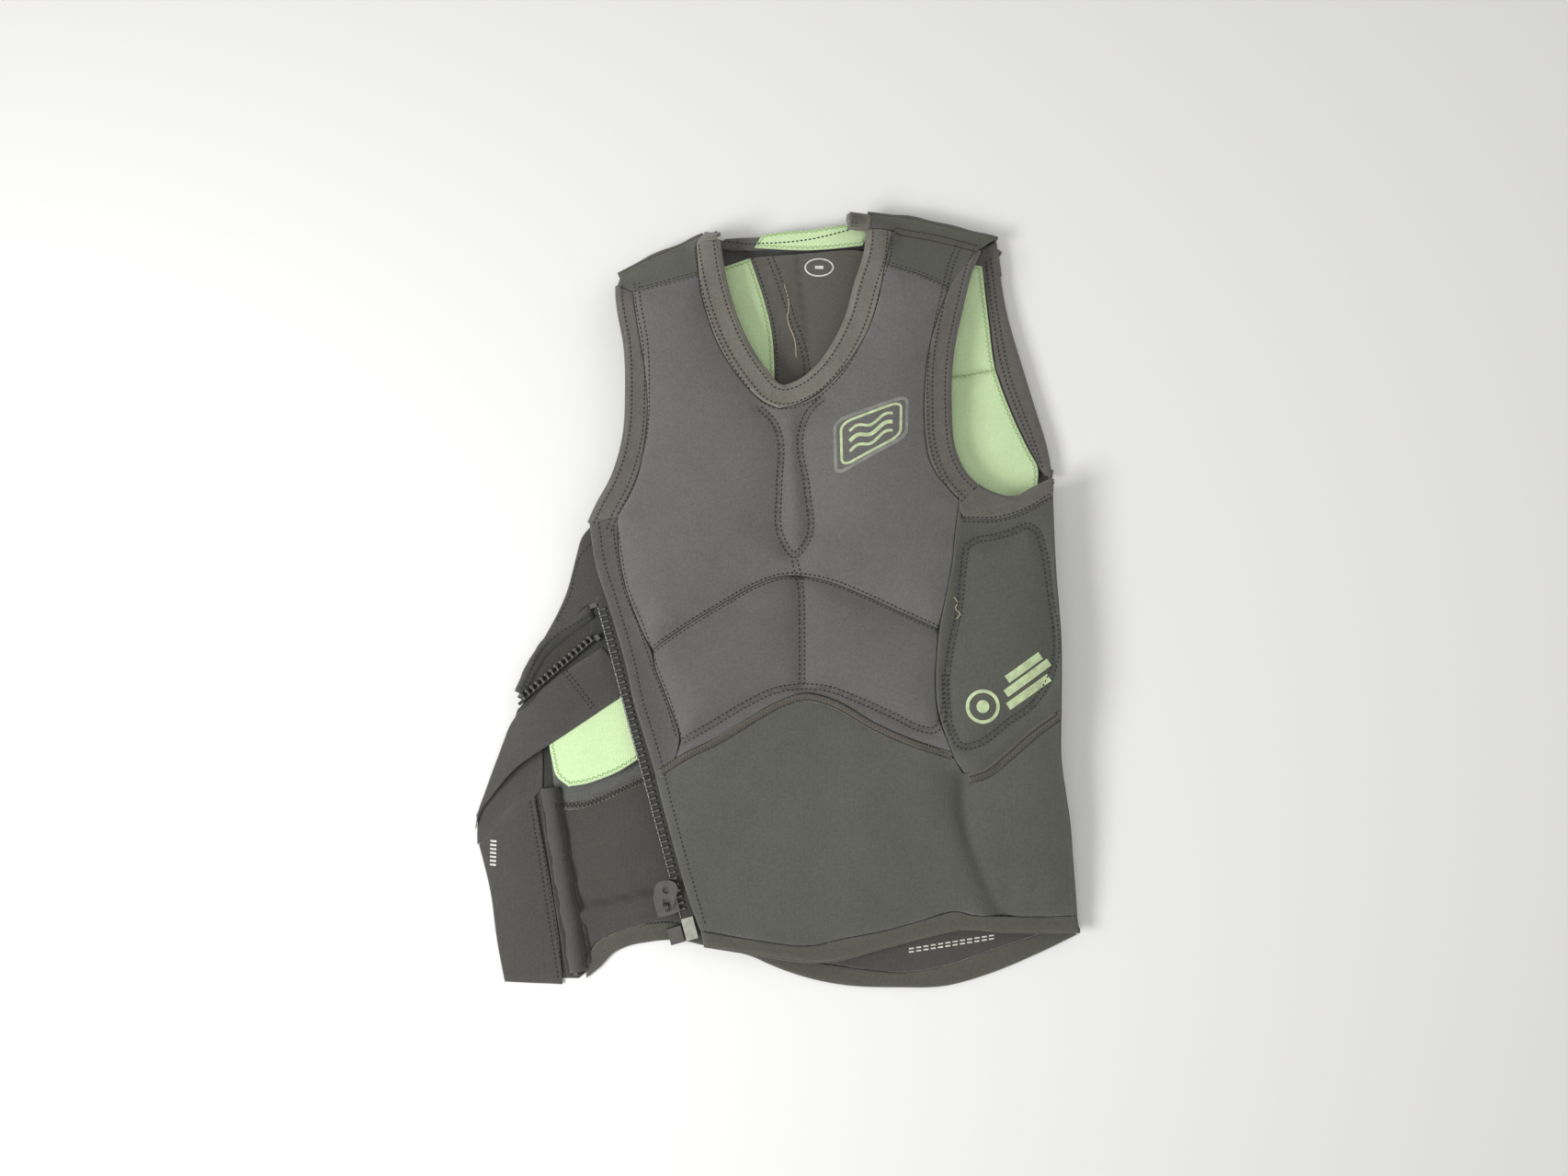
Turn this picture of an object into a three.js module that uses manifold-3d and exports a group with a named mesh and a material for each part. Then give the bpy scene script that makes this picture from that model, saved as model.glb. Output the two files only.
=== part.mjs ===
// Side-zip foam vest lying flat on its back, front up.
// Units are millimetres. +Y points to the neck, +X to the wearer's left arm, +Z up off the floor.
// The origin is under the middle of the vest, on the floor.
import * as THREE from 'three';
import Module from 'manifold-3d';

// ---- driving dimensions ----
const GAP = 0.3;                 // air kept between two pieces that touch
const SKIN = 3;                  // outer neoprene
const LINING = 1.5;              // inner jersey lining
const BAND = 5;                  // doubled neoprene of the edge bands
const BACK_FOAM = 10;
const FRONT_FOAM = 14;
const CAVITY = 12;               // room left between back and front while the vest lies flat
const CURVE_STEP = 14;           // spacing of the points along a curved edge
const TOOTH_PITCH = 5;           // chunky moulded zip
const TOOTH_REACH = 4;
const TOOTH_ROOT = 2.2;
const CHAIN_DEPTH = 4.4;
const TAPE = 1.2;
const ZIP_TOP = [-143, -7, 30];  // upper end of the front row of teeth
const ZIP_END = [-79, -242, 14]; // lower end, at the slider
const PULLER_SKEW = 12;          // degrees the hanging puller turns off the zip's line

// ---- heights that follow from them ----
const BACK_FOAM_Z = SKIN + GAP;
const BACK_LINING_Z = BACK_FOAM_Z + BACK_FOAM + GAP;
const BACK_TOP = BACK_LINING_Z + LINING;
const FRONT_LINING_Z = BACK_TOP + CAVITY;
const FRONT_FOAM_Z = FRONT_LINING_Z + LINING + GAP;
const FRONT_SKIN_Z = FRONT_FOAM_Z + FRONT_FOAM + GAP;
const ABDOMEN_SLOPE = 0.045;     // the belly panels sink a little towards the waist
const HEM_Z = 14;
const WAIST_Z = 37;
const WAIST_Y = -100;
const HEM_Y = -262;
const YOKE_Z = 37;
const SHOULDER_EDGE_Z = 16;

const wasm = await Module();
wasm.setup();

const vest = new THREE.Group();

const colours = {
  chest: [0x58585a, 0.85],
  stretch: [0x4e4f4a, 0.88],
  band: [0x5c5954, 0.9],
  lining: [0x46443f, 0.9],
  green: [0xc4efb2, 0.8],
  foam: [0x9a9a92, 0.95],
  tape: [0x5f584b, 0.8],
  teeth: [0x1c1c1c, 0.35],
  plastic: [0x77776c, 0.45],
};

function add(name, finish, geometry, parent = vest) {
  const [color, roughness] = colours[finish];
  const material = new THREE.MeshStandardMaterial({ color, roughness, metalness: 0 });
  const mesh = new THREE.Mesh(geometry, material);
  mesh.name = name;
  parent.add(mesh);
  return mesh;
}

// ---- outline helpers ----

// A smooth run through hand-set points, sampled evenly.
function curve(points, step = CURVE_STEP) {
  const spline = new THREE.SplineCurve(points.map(([x, y]) => new THREE.Vector2(x, y)));
  const count = Math.max(2, Math.round(spline.getLength() / step));
  return spline.getSpacedPoints(count).map((p) => [p.x, p.y]);
}

const reversed = (points) => [...points].reverse();

// Joins runs end to end and drops points that fall on each other.
function loop(...runs) {
  const points = runs.flat();
  return points.filter(([x, y], i) => {
    const [px, py] = points[(i + points.length - 1) % points.length];
    return Math.hypot(x - px, y - py) > 0.6;
  });
}

function area(points) {
  let sum = 0;
  points.forEach(([x, y], i) => {
    const [nx, ny] = points[(i + 1) % points.length];
    sum += x * ny - nx * y;
  });
  return sum / 2;
}

const anticlockwise = (points) => (area(points) < 0 ? reversed(points) : points);

// Moves every side of an outline inwards by a distance.
function inset(outline, distance) {
  const points = anticlockwise(outline);
  const side = (a, b) => {
    const length = Math.hypot(b[0] - a[0], b[1] - a[1]);
    return [-(b[1] - a[1]) / length, (b[0] - a[0]) / length];
  };
  return points.map((p, i) => {
    const before = side(points[(i + points.length - 1) % points.length], p);
    const after = side(p, points[(i + 1) % points.length]);
    const reach = distance / Math.max(0.35, 1 + before[0] * after[0] + before[1] * after[1]);
    return [p[0] + (before[0] + after[0]) * reach, p[1] + (before[1] + after[1]) * reach];
  });
}

// A band of constant width on the left-hand side of a run.
function ribbon(run, width) {
  const far = run.map((p, i) => {
    const a = run[Math.max(0, i - 1)];
    const b = run[Math.min(run.length - 1, i + 1)];
    const length = Math.hypot(b[0] - a[0], b[1] - a[1]);
    return [p[0] - ((b[1] - a[1]) / length) * width, p[1] + ((b[0] - a[0]) / length) * width];
  });
  return [...run, ...reversed(far)];
}

// ---- solid helpers ----

// A closed sheet of the outline between two height functions, or two flat heights.
function slab(outline, low, high) {
  const points = anticlockwise(outline);
  const at = (height, [x, y]) => (typeof height === 'function' ? height(x, y) : height);
  const count = points.length;
  const position = [
    ...points.flatMap((p) => [...p, at(low, p)]),
    ...points.flatMap((p) => [...p, at(high, p)]),
  ];
  const flat = points.map(([x, y]) => new THREE.Vector2(x, y));
  const index = [];
  for (const [a, b, c] of THREE.ShapeUtils.triangulateShape(flat, [])) {
    index.push(a, c, b, a + count, b + count, c + count);
  }
  for (let i = 0; i < count; i += 1) {
    const j = (i + 1) % count;
    index.push(i, j, j + count, i, j + count, i + count);
  }
  const geometry = new THREE.BufferGeometry();
  geometry.setAttribute('position', new THREE.Float32BufferAttribute(position, 3));
  geometry.setIndex(index);
  return geometry;
}

// The slab of an outline drawn in by half the gap, so that neighbours never touch.
const panel = (outline, low, high) => slab(inset(outline, GAP / 2), low, high);

function extruded(shape, depth) {
  return new THREE.ExtrudeGeometry(shape, { depth, bevelEnabled: false, curveSegments: 10 });
}

function box(x0, x1, y0, y1, z0, z1) {
  const geometry = new THREE.BoxGeometry(x1 - x0, y1 - y0, z1 - z0);
  geometry.translate((x0 + x1) / 2, (y0 + y1) / 2, (z0 + z1) / 2);
  return geometry;
}

// Welds corners that fall on each other, so that a geometry can be joined or cut.
function solid(geometry) {
  const loose = geometry.index ? geometry.toNonIndexed() : geometry;
  const { position } = loose.attributes;
  const known = new Map();
  const vertProperties = [];
  const triVerts = [];
  for (let i = 0; i < position.count; i += 1) {
    const corner = [position.getX(i), position.getY(i), position.getZ(i)];
    const key = corner.map((value) => Math.round(value * 1e4)).join();
    if (!known.has(key)) {
      known.set(key, vertProperties.length / 3);
      vertProperties.push(...corner);
    }
    triVerts.push(known.get(key));
  }
  return new wasm.Manifold(new wasm.Mesh({
    numProp: 3,
    vertProperties: new Float32Array(vertProperties),
    triVerts: new Uint32Array(triVerts),
  }));
}

function united(...geometries) {
  const mesh = geometries.map(solid).reduce((a, b) => a.add(b)).getMesh();
  const geometry = new THREE.BufferGeometry();
  geometry.setAttribute('position', new THREE.Float32BufferAttribute(mesh.vertProperties, 3));
  geometry.setIndex([...mesh.triVerts]);
  return geometry;
}

const mix = (a, b, t) => a + (b - a) * Math.min(1, Math.max(0, t));

// ---- edges shared by neighbouring pieces, seen from above ----
const neckEdge = curve([[-49, 292], [-45, 266], [-36, 232], [-25, 206], [-10, 183], [3, 170],
  [15, 173], [31, 185], [46, 206], [56, 227], [64, 256], [72, 282], [74, 303]]);
const neckSeamLeft = curve([[-67, 292], [-64, 262], [-61, 242], [-50, 208], [-35, 182], [-17, 161],
  [1, 151]]);
const neckSeamRight = curve([[1, 151], [23, 158], [48, 178], [69, 208], [80, 237], [87, 271]]);
const neckSeamRightTop = curve([[87, 271], [91, 290], [94, 303]]);
const yokeSeamLeft = curve([[-117, 248], [-90, 255], [-64, 262]]);
const yokeSeamRight = curve([[87, 271], [114, 262], [138, 251]]);
const shoulderEdgeLeft = curve([[-129, 268], [-111, 279], [-81, 292], [-50, 305]]);
const shoulderEdgeRight = curve([[76, 319], [109, 316], [147, 307], [180, 299]]);
const shoulderTapeLine = curve([[94, 303], [130, 297], [165, 288]]);
const armEdgeLeft = curve([[-131, 256], [-128, 232], [-123, 206], [-121, 166], [-123, 128],
  [-132, 96], [-144, 73], [-150, 60]]);
const armSeamLeft = curve([[-117, 248], [-112, 216], [-105, 175], [-104, 139], [-110, 100],
  [-119, 78], [-127, 64]]);
const armEdgeRight = curve([[165, 288], [157, 269], [148, 235], [140, 196], [138, 152], [141, 118],
  [149, 100], [160, 88]]);
const armSeamRight = curve([[138, 251], [123, 208], [117, 164], [118, 123], [125, 100], [144, 77]]);
const armBackInner = curve([[169, 278], [174, 229], [179, 190], [194, 147], [212, 109]]);
const armBackOuter = curve([[182, 299], [189, 242], [206, 178], [221, 125], [224, 99]]);
const archSeam = curve([[-100, -42], [-71, -22], [-43, -5], [-14, 11], [6, 17], [25, 16], [45, 11],
  [74, -1], [102, -14], [127, -25]]);
const padRow = curve([[-127, 64], [-126, 36], [-120, 7], [-110, -20], [-100, -42]]);
const padRowLow = curve([[-100, -42], [-97, -55], [-86, -83], [-77, -111], [-84, -134]]);
const waistSeam = curve([[-97, -138], [-84, -134], [-71, -124], [-48, -113], [-23, -98], [2, -84],
  [22, -78], [45, -84], [73, -100], [102, -113], [138, -126]]);
const sideEdge = curve([[144, 77], [140, 50], [137, 24], [127, -25]]);
const sideEdgeLow = curve([[127, -25], [124, -61], [126, -91], [138, -126]]);
const frontEdge = curve([[-150, 60], [-145, 27], [-137, 2], [-131, -17], [-121, -51], [-114, -83],
  [-106, -108], [-97, -138]]);
const frontEdgeLow = curve([[-97, -138], [-90, -166], [-81, -199], [-72, -231], [-66, -248],
  [-61, -261]]);
const hemStitchFront = curve([[-61, -261], [-12, -269], [24, -273], [53, -267], [84, -261],
  [110, -254], [139, -246], [155, -249], [192, -250], [236, -249]]);
const hemEdgeFront = curve([[-58, -273], [-19, -279], [24, -285], [45, -284], [84, -274],
  [120, -265], [144, -260], [180, -262], [238, -262]]);
const sideTopEdge = curve([[148, 79], [181, 75], [210, 91], [220, 95]]);
const sideTopStitch = curve([[146, 63], [174, 62], [197, 69], [219, 81]]);
const sideSeam = curve([[138, -126], [149, -140], [162, -136], [180, -121], [201, -103], [222, -88]]);
const rightFold = curve([[219, 81], [220, 20], [223, -34], [222, -88]]);
const rightFoldLow = curve([[222, -88], [222, -122], [230, -180], [236, -249]]);
const backWaist = curve([[-178, -164], [-154, -162], [-131, -153], [-111, -144], [-40, -118],
  [20, -108], [110, -114], [222, -126]]);
const zipSideBack = curve([[-178, -164], [-173, -182], [-165, -225], [-156, -263], [-152, -286]]);
const hemStitchBack = curve([[-152, -286], [-145, -273], [-130, -265], [-107, -258], [-83, -256],
  [-24, -268], [24, -285], [63, -292], [96, -295], [133, -290], [169, -278], [203, -267],
  [234, -256]]);
const hemEdgeBack = curve([[-152, -300], [-142, -292], [-130, -280], [-115, -274], [-83, -270],
  [-61, -274], [-24, -282], [0, -292], [29, -301], [60, -306], [96, -307], [132, -306],
  [169, -296], [206, -281], [238, -266]]);
const greenLeftInner = curve([[-23, 285], [-14, 259], [-6, 229], [-3, 203], [-3, 160], [-8, 60],
  [-20, -20], [-34, -74]]);
const greenRightInner = curve([[98, 276], [88, 240], [80, 200], [76, 140], [80, 50], [88, -20],
  [98, -70]]);

// ---- heights of the sloping parts ----
const zipHeight = (y) => mix(ZIP_TOP[2], ZIP_END[2], (ZIP_TOP[1] - y) / (ZIP_TOP[1] - ZIP_END[1]));
const placketLow = (x, y) => zipHeight(Math.min(y, ZIP_TOP[1])) + TAPE + Math.max(0, y) * 0.05;
const abdomenLow = (x, y) => FRONT_SKIN_Z + ABDOMEN_SLOPE * (y - 17);

function skirtLow(x, y) {
  const open = mix(HEM_Z, WAIST_Z, (y - HEM_Y) / (WAIST_Y - HEM_Y));
  return mix(zipHeight(y) + TAPE, open, (x + 105) / 70);
}

// A yoke sinks from its front seam to the fold over the shoulder, along a direction.
function yokeLow(fromX, fromY, alongX, alongY, run) {
  return (x, y) => {
    const away = (x - fromX) * alongX + (y - fromY) * alongY;
    return mix(YOKE_Z, SHOULDER_EDGE_Z, away / run);
  };
}

const lifted = (height, by) => (x, y) => height(x, y) + by;

// ---- back half ----

function buildBack() {
  const topEdge = curve([[-50, 305], [-22, 301], [26, 306], [76, 319]]);
  const leftSide = curve([[-131, 256], [-123, 206], [-121, 166], [-126, 115], [-144, 73],
    [-159, 50], [-170, 7], [-189, -31], [-186, -80], [-184, -116], [-178, -164]]);
  const outline = loop(reversed(armBackOuter), reversed(shoulderEdgeRight), reversed(topEdge),
    reversed(shoulderEdgeLeft), leftSide, backWaist, curve([[222, -126], [223, -34], [222, 60],
      [224, 99]]));
  add('back_shell', 'chest', panel(outline, 0, SKIN));

  const skirt = loop(zipSideBack, hemStitchBack, curve([[234, -256], [230, -180], [222, -126]]),
    reversed(backWaist));
  add('back_skirt_panel', 'stretch', panel(skirt, 0, SKIN));
  const hem = loop(hemEdgeBack, reversed(hemStitchBack));
  add('back_hem_band', 'band', panel(hem, 0, SKIN + 1));
  const seam = ribbon(curve([[-172, -168], [-154, -166], [-131, -157], [-111, -148], [-40, -122]]), 6);
  add('back_waist_seam_tape', 'band', slab(seam, SKIN + GAP, SKIN + GAP + 0.8));

  const leftLining = loop(reversed(greenLeftInner), [[-46, 277], [-88, 268], [-112, 250]],
    curve([[-112, 250], [-109, 190], [-107, 140], [-116, 100], [-136, 60], [-156, 10], [-176, -34],
      [-184, -90], [-183, -116], [-181, -125], [-178, -137], [-174, -145], [-167, -149],
      [-153, -147], [-133, -140], [-115, -130], [-70, -98], [-34, -74]]));
  const rightLining = loop(greenRightInner,
    curve([[98, -70], [140, -96], [180, -108], [204, -92], [208, -34], [209, 20], [211, 70],
      [212, 109]]),
    reversed(armBackInner), [[152, 280], [125, 284]]);
  const centreLining = loop(greenLeftInner,
    curve([[-34, -74], [20, -100], [70, -92], [98, -70]]), reversed(greenRightInner),
    curve([[98, 276], [70, 291], [26, 289], [-23, 285]]));
  const linings = [['left', leftLining, 'green'], ['centre', centreLining, 'lining'],
    ['right', rightLining, 'green']];
  for (const [side, shape, finish] of linings) {
    const foam = inset(shape, 4);
    add(`back_foam_${side}`, 'foam', slab(foam, BACK_FOAM_Z, BACK_FOAM_Z + BACK_FOAM));
    add(`back_lining_${side}`, finish, panel(shape, BACK_LINING_Z, BACK_TOP));
  }

  const collarLow = curve([[-20, 292], [26, 290], [70, 294]]);
  const collarTop = curve([[76, 304], [72, 311], [60, 313], [26, 308], [-12, 304], [-20, 292]]);
  add('collar_facing', 'green', panel(loop(collarLow, collarTop), BACK_TOP + GAP, BACK_TOP + 3));
  const band = loop(curve([[-52, 292], [-22, 291], [26, 295], [72, 299]]),
    curve([[72, 299], [62, 312], [26, 306], [-12, 303], [-46, 301], [-52, 292]]));
  add('back_neck_band', 'band', panel(band, BACK_FOAM_Z, BACK_TOP));
}

// ---- front half ----

function buildFront() {
  const skinTop = FRONT_SKIN_Z + SKIN;
  const chest = loop(reversed(yokeSeamLeft), armSeamLeft, padRow, archSeam, reversed(sideEdge),
    reversed(armSeamRight), reversed(yokeSeamRight), reversed(neckSeamRight),
    reversed(neckSeamLeft.filter(([, y]) => y < 263)));
  add('chest_panel', 'chest', panel(chest, FRONT_SKIN_Z, skinTop));

  const abdomen = loop(padRowLow, waistSeam.filter(([x]) => x > -84), reversed(sideEdgeLow),
    reversed(archSeam));
  add('abdomen_panel', 'chest', panel(abdomen, abdomenLow, lifted(abdomenLow, SKIN)));

  const placket = loop(frontEdge, [[-84, -134]], reversed(padRowLow), reversed(padRow),
    [[-127, 64]]);
  add('zip_placket', 'chest', panel(placket, placketLow, lifted(placketLow, SKIN)));

  const skirt = loop(frontEdgeLow, hemStitchFront, reversed(rightFoldLow), reversed(sideSeam),
    reversed(waistSeam));
  add('front_skirt_panel', 'stretch', panel(skirt, skirtLow, lifted(skirtLow, SKIN)));
  const hem = loop(hemEdgeFront, reversed(hemStitchFront));
  add('front_hem_band', 'band', panel(hem, HEM_Z - 1, HEM_Z + SKIN));
  const waistTape = ribbon(curve([[-92, -142], [-71, -129], [-48, -117], [-23, -102], [2, -88],
    [22, -82], [45, -88], [73, -104], [102, -117], [134, -130]]), 6);
  const tapeLow = (x, y) => Math.max(skirtLow(x, y), abdomenLow(x, y)) + SKIN + GAP;
  add('waist_seam_tape', 'band', slab(waistTape, tapeLow, lifted(tapeLow, 0.8)));

  const channel = curve([[1, 133], [1, 87], [3, 47]]);
  const foams = {
    chest_foam_left: [loop(
      curve([[-108, 244], [-66, 256]]),
      curve([[-66, 256], [-64, 238], [-54, 205], [-38, 178], [-20, 157], [-6, 145], [1, 133]]),
      channel,
      curve([[3, 47], [5, 27], [-14, 18], [-43, 3], [-71, -14], [-96, -33]]),
      curve([[-96, -33], [-104, -16], [-116, 8], [-122, 36], [-122, 62], [-106, 100], [-100, 139],
        [-101, 175], [-108, 216], [-108, 244]]),
    ), 0],
    chest_foam_right: [loop(
      curve([[90, 264], [132, 247]]),
      curve([[132, 247], [118, 208], [112, 164], [113, 123], [120, 98], [138, 76], [132, 24],
        [122, -17]]),
      curve([[122, -17], [102, -6], [74, 7], [45, 18], [25, 25], [23, 44]]),
      curve([[23, 44], [23, 87], [20, 131], [30, 150], [52, 176], [73, 208], [83, 237], [90, 264]]),
    ), 0],
    abdomen_foam_left: [loop(
      curve([[-94, -46], [-71, -31], [-43, -14], [-14, 2], [11, 9]]),
      curve([[11, 9], [15, -65]]),
      curve([[15, -65], [-1, -68], [-25, -79], [-52, -95], [-73, -108], [-82, -82], [-94, -46]]),
    ), 6],
    abdomen_foam_right: [loop(
      curve([[23, 8], [45, 2], [74, -10], [102, -23], [121, -33]]),
      curve([[121, -33], [118, -61], [120, -96]]),
      curve([[120, -96], [93, -89], [64, -76], [40, -67], [24, -65]]),
      [[23, 8]],
    ), 6],
  };
  for (const [name, [shape, drop]] of Object.entries(foams)) {
    add(name, 'foam', slab(shape, FRONT_FOAM_Z, FRONT_FOAM_Z + FRONT_FOAM - drop));
  }

  const lining = loop(
    curve([[-108, 240], [-64, 252], [-54, 208], [-38, 180], [-18, 158], [2, 146], [24, 154],
      [50, 174], [72, 206], [84, 262]]),
    curve([[84, 262], [130, 244], [114, 208], [110, 164], [110, 123], [118, 98], [136, 74],
      [128, 24], [118, -26], [114, -61], [116, -92]]),
    curve([[116, -92], [64, -72], [19, -61], [-25, -76], [-70, -100], [-90, -60], [-112, 8],
      [-118, 60], [-102, 100], [-96, 139], [-97, 175], [-104, 216], [-108, 240]]),
  );
  add('front_lining', 'lining', slab(lining, FRONT_LINING_Z, FRONT_LINING_Z + LINING));
}

// ---- edge bands, yokes and shoulder folds ----

function buildEdges() {
  const low = YOKE_Z - 1;
  const neck = loop(neckEdge, reversed(neckSeamRightTop), reversed(neckSeamRight),
    reversed(neckSeamLeft));
  add('neck_band', 'band', panel(neck, low, low + BAND));

  const armLeft = loop(armEdgeLeft, [[-127, 64]], reversed(armSeamLeft));
  add('armhole_band_left', 'band', panel(armLeft, low, low + BAND));
  const armRight = loop(armEdgeRight, [[148, 79]], reversed(armSeamRight));
  add('armhole_band_right', 'band', panel(armRight, low, low + BAND));
  const armRightBack = loop(armBackInner, reversed(armBackOuter));
  add('armhole_band_right_back', 'band', panel(armRightBack, BACK_FOAM_Z, BACK_TOP - 1));
  const armLeftBack = ribbon(curve([[-121, 240], [-117, 206], [-113, 166], [-118, 118],
    [-134, 80]]), -6);
  add('armhole_band_left_back', 'band', slab(armLeftBack, BACK_FOAM_Z, BACK_FOAM_Z + BAND));

  const leftFall = yokeLow(-90, 255, -0.43, 0.9, 30);
  const yokeLeft = loop(shoulderEdgeLeft, [[-67, 292], [-64, 262]], reversed(yokeSeamLeft),
    [[-131, 256]]);
  add('shoulder_yoke_left', 'chest', panel(yokeLeft, leftFall, lifted(leftFall, SKIN)));
  const rightFall = yokeLow(112, 262, 0.2, 0.98, 54);
  const yokeRight = loop(shoulderTapeLine, reversed(yokeSeamRight), neckSeamRightTop);
  add('shoulder_yoke_right', 'chest', panel(yokeRight, rightFall, lifted(rightFall, SKIN)));
  const backYoke = loop(shoulderTapeLine, [[180, 299]], reversed(shoulderEdgeRight),
    [[74, 303]]);
  add('shoulder_back_yoke_right', 'chest', panel(backYoke, rightFall, lifted(rightFall, SKIN)));
  const tape = ribbon(curve([[96, 300], [130, 294], [163, 285]]), 6);
  const tapeLow = lifted(rightFall, SKIN + 1);
  add('shoulder_seam_tape_right', 'band', slab(tape, tapeLow, lifted(tapeLow, 0.8)));

  const foldLeft = ribbon(curve([[-126, 266], [-111, 275], [-81, 288], [-56, 298]]), -4);
  add('shoulder_fold_left', 'chest', slab(foldLeft, BACK_FOAM_Z, SHOULDER_EDGE_Z - 1));
  const foldRight = ribbon(curve([[82, 315], [109, 312], [147, 303], [172, 297]]), -4);
  add('shoulder_fold_right', 'chest', slab(foldRight, BACK_FOAM_Z, SHOULDER_EDGE_Z - 1));
}

// ---- the closed side, at the wearer's left ----

function buildSide() {
  const low = FRONT_SKIN_Z - 4;
  const side = loop(sideTopStitch, rightFold, reversed(sideSeam), reversed(sideEdgeLow),
    reversed(sideEdge));
  add('side_panel', 'stretch', panel(side, low, low + SKIN));
  const binding = loop(sideTopEdge, [[219, 81]], reversed(sideTopStitch));
  add('side_panel_binding', 'band', panel(binding, low - 1, low + SKIN));
  const foam = loop(
    curve([[151, 40], [156, 46], [171, 50], [200, 56], [208, 39], [212, 18], [213, -70]]),
    curve([[213, -70], [201, -83], [180, -98], [156, -113], [146, -115], [135, -100], [132, -80],
      [133, -59], [143, -9], [148, 18], [151, 40]]),
  );
  add('side_foam', 'foam', slab(foam, FRONT_FOAM_Z, low - GAP));
  const wall = ribbon(curve([[217, 90], [218, 20], [221, -34], [220, -86]]), -3.5);
  add('side_panel_fold', 'stretch', slab(wall, BACK_FOAM_Z, low - 2));
  const skirtWall = ribbon(curve([[220, -90], [220, -122], [228, -180], [233, -246]]), -3.5);
  add('skirt_fold', 'stretch', slab(skirtWall, BACK_FOAM_Z, (x, y) => skirtLow(x, y) - 1.5));
  const tape = ribbon(curve([[150, -144], [163, -140], [182, -125], [203, -107], [220, -95]]), 6);
  const tapeLow = (x, y) => Math.max(low, skirtLow(x, y)) + SKIN + GAP;
  add('side_seam_tape', 'band', slab(tape, tapeLow, lifted(tapeLow, 0.8)));
}

// ---- the guard flap behind the zip, folded over on itself, and the back row of teeth ----

// One row of teeth along a line: a bar with a tooth every pitch, drawn from x = 0 to the length.
function toothRow(length) {
  const outline = [[0, 0], [length, 0]];
  const count = Math.floor(length / TOOTH_PITCH);
  for (let i = count - 1; i >= 0; i -= 1) {
    const middle = (i + 0.5) * TOOTH_PITCH;
    outline.push([middle + 1.2, -TOOTH_ROOT], [middle + 1.5, -TOOTH_ROOT - TOOTH_REACH],
      [middle - 1.5, -TOOTH_ROOT - TOOTH_REACH], [middle - 1.2, -TOOTH_ROOT]);
  }
  outline.push([0, -TOOTH_ROOT]);
  return slab(outline, -CHAIN_DEPTH / 2, CHAIN_DEPTH / 2);
}

// Stands a piece drawn along +X at a point, turned about Z to a direction.
function placed(mesh, from, to, z) {
  mesh.position.set(from[0], from[1], z);
  mesh.rotation.z = Math.atan2(to[1] - from[1], to[0] - from[0]);
  return mesh;
}

function buildZipSide() {
  const floor = BACK_TOP + GAP;
  const wing = loop(curve([[-150, 62], [-159, 50], [-170, 7], [-182, -20], [-188, -31]]),
    curve([[-188, -31], [-172, -22], [-152, -3]]), [[-124, 0], [-124, 55]]);
  add('side_back_panel', 'stretch', panel(wing, floor, floor + SKIN));

  const foldTop = [-206, -84];
  const teethFrom = [-146, -32];
  const tape = [[-152, -10], [-187, -35], foldTop, teethFrom];
  add('zip_tape_back_upper', 'tape', panel(tape, floor, floor + TAPE));
  const flat = loop(curve([[-140, -38], [-170, -57], [-184, -68]]),
    [[-184, -117], [-127, -79], [-122, -60]]);
  const sloping = loop(curve([[-184, -68], [-200, -82], [-213, -97], [-222, -119], [-241, -172],
    [-242, -183]]), curve([[-242, -183], [-237, -168], [-211, -136], [-184, -117]]));
  const fall = (x) => mix(floor, SKIN + GAP, (-184 - x) / 58);
  add('guard_flap_upper', 'stretch', united(slab(flat, floor, floor + SKIN),
    slab(sloping, fall, (x) => fall(x) + SKIN)));
  const upperRow = Math.hypot(foldTop[0] - teethFrom[0], foldTop[1] - teethFrom[1]);
  placed(add('zip_teeth_back_upper', 'teeth', toothRow(upperRow)), teethFrom, foldTop,
    floor + SKIN + GAP + CHAIN_DEPTH / 2).rotateX(Math.PI);
  placed(add('zip_top_stop_back', 'plastic', box(-4, -0.4, -2.4, 2.4, -2.4, 2.4)), teethFrom,
    foldTop, floor + SKIN + GAP + CHAIN_DEPTH / 2);

  const root = loop(curve([[-212, -94], [-222, -119], [-240, -172], [-241, -186]]),
    curve([[-239, -193], [-213, -160], [-198, -149]]), [[-192, -140], [-194, -118], [-200, -98]]);
  add('guard_flap_root', 'stretch', panel(root, 0, SKIN));
  const lower = loop(curve([[-240, -195], [-230, -232], [-224, -270], [-217, -303]]),
    [[-170, -305], [-171, -290], [-195, -154]], curve([[-195, -154], [-213, -163], [-240, -195]]));
  add('guard_flap_lower', 'stretch', slab(inset(lower, 0.6), 0, SKIN));
  const lowerTape = loop([[-193, -150], [-169, -290], [-167, -300], [-161, -298]],
    curve([[-156.5, -286], [-162, -263], [-171, -225], [-179, -182], [-184, -150]]));
  add('zip_tape_back_lower', 'tape', panel(lowerTape, 0, SKIN));
  const rowFrom = [-184, -152];
  const rowTo = [-160, -284];
  const lowerRow = Math.hypot(rowTo[0] - rowFrom[0], rowTo[1] - rowFrom[1]);
  placed(add('zip_teeth_back_lower', 'teeth', toothRow(lowerRow)), rowFrom, rowTo,
    SKIN + GAP + 1 + CHAIN_DEPTH / 2);
  placed(add('zip_insertion_pin', 'plastic', box(0.4, 13, -3, 0, -2, 2)), rowTo,
    [rowTo[0] + 24, rowTo[1] - 132], SKIN + GAP + 1 + CHAIN_DEPTH / 2);
}

// ---- front row of teeth with its slider, drawn along +X from the top stop to the box ----

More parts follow.
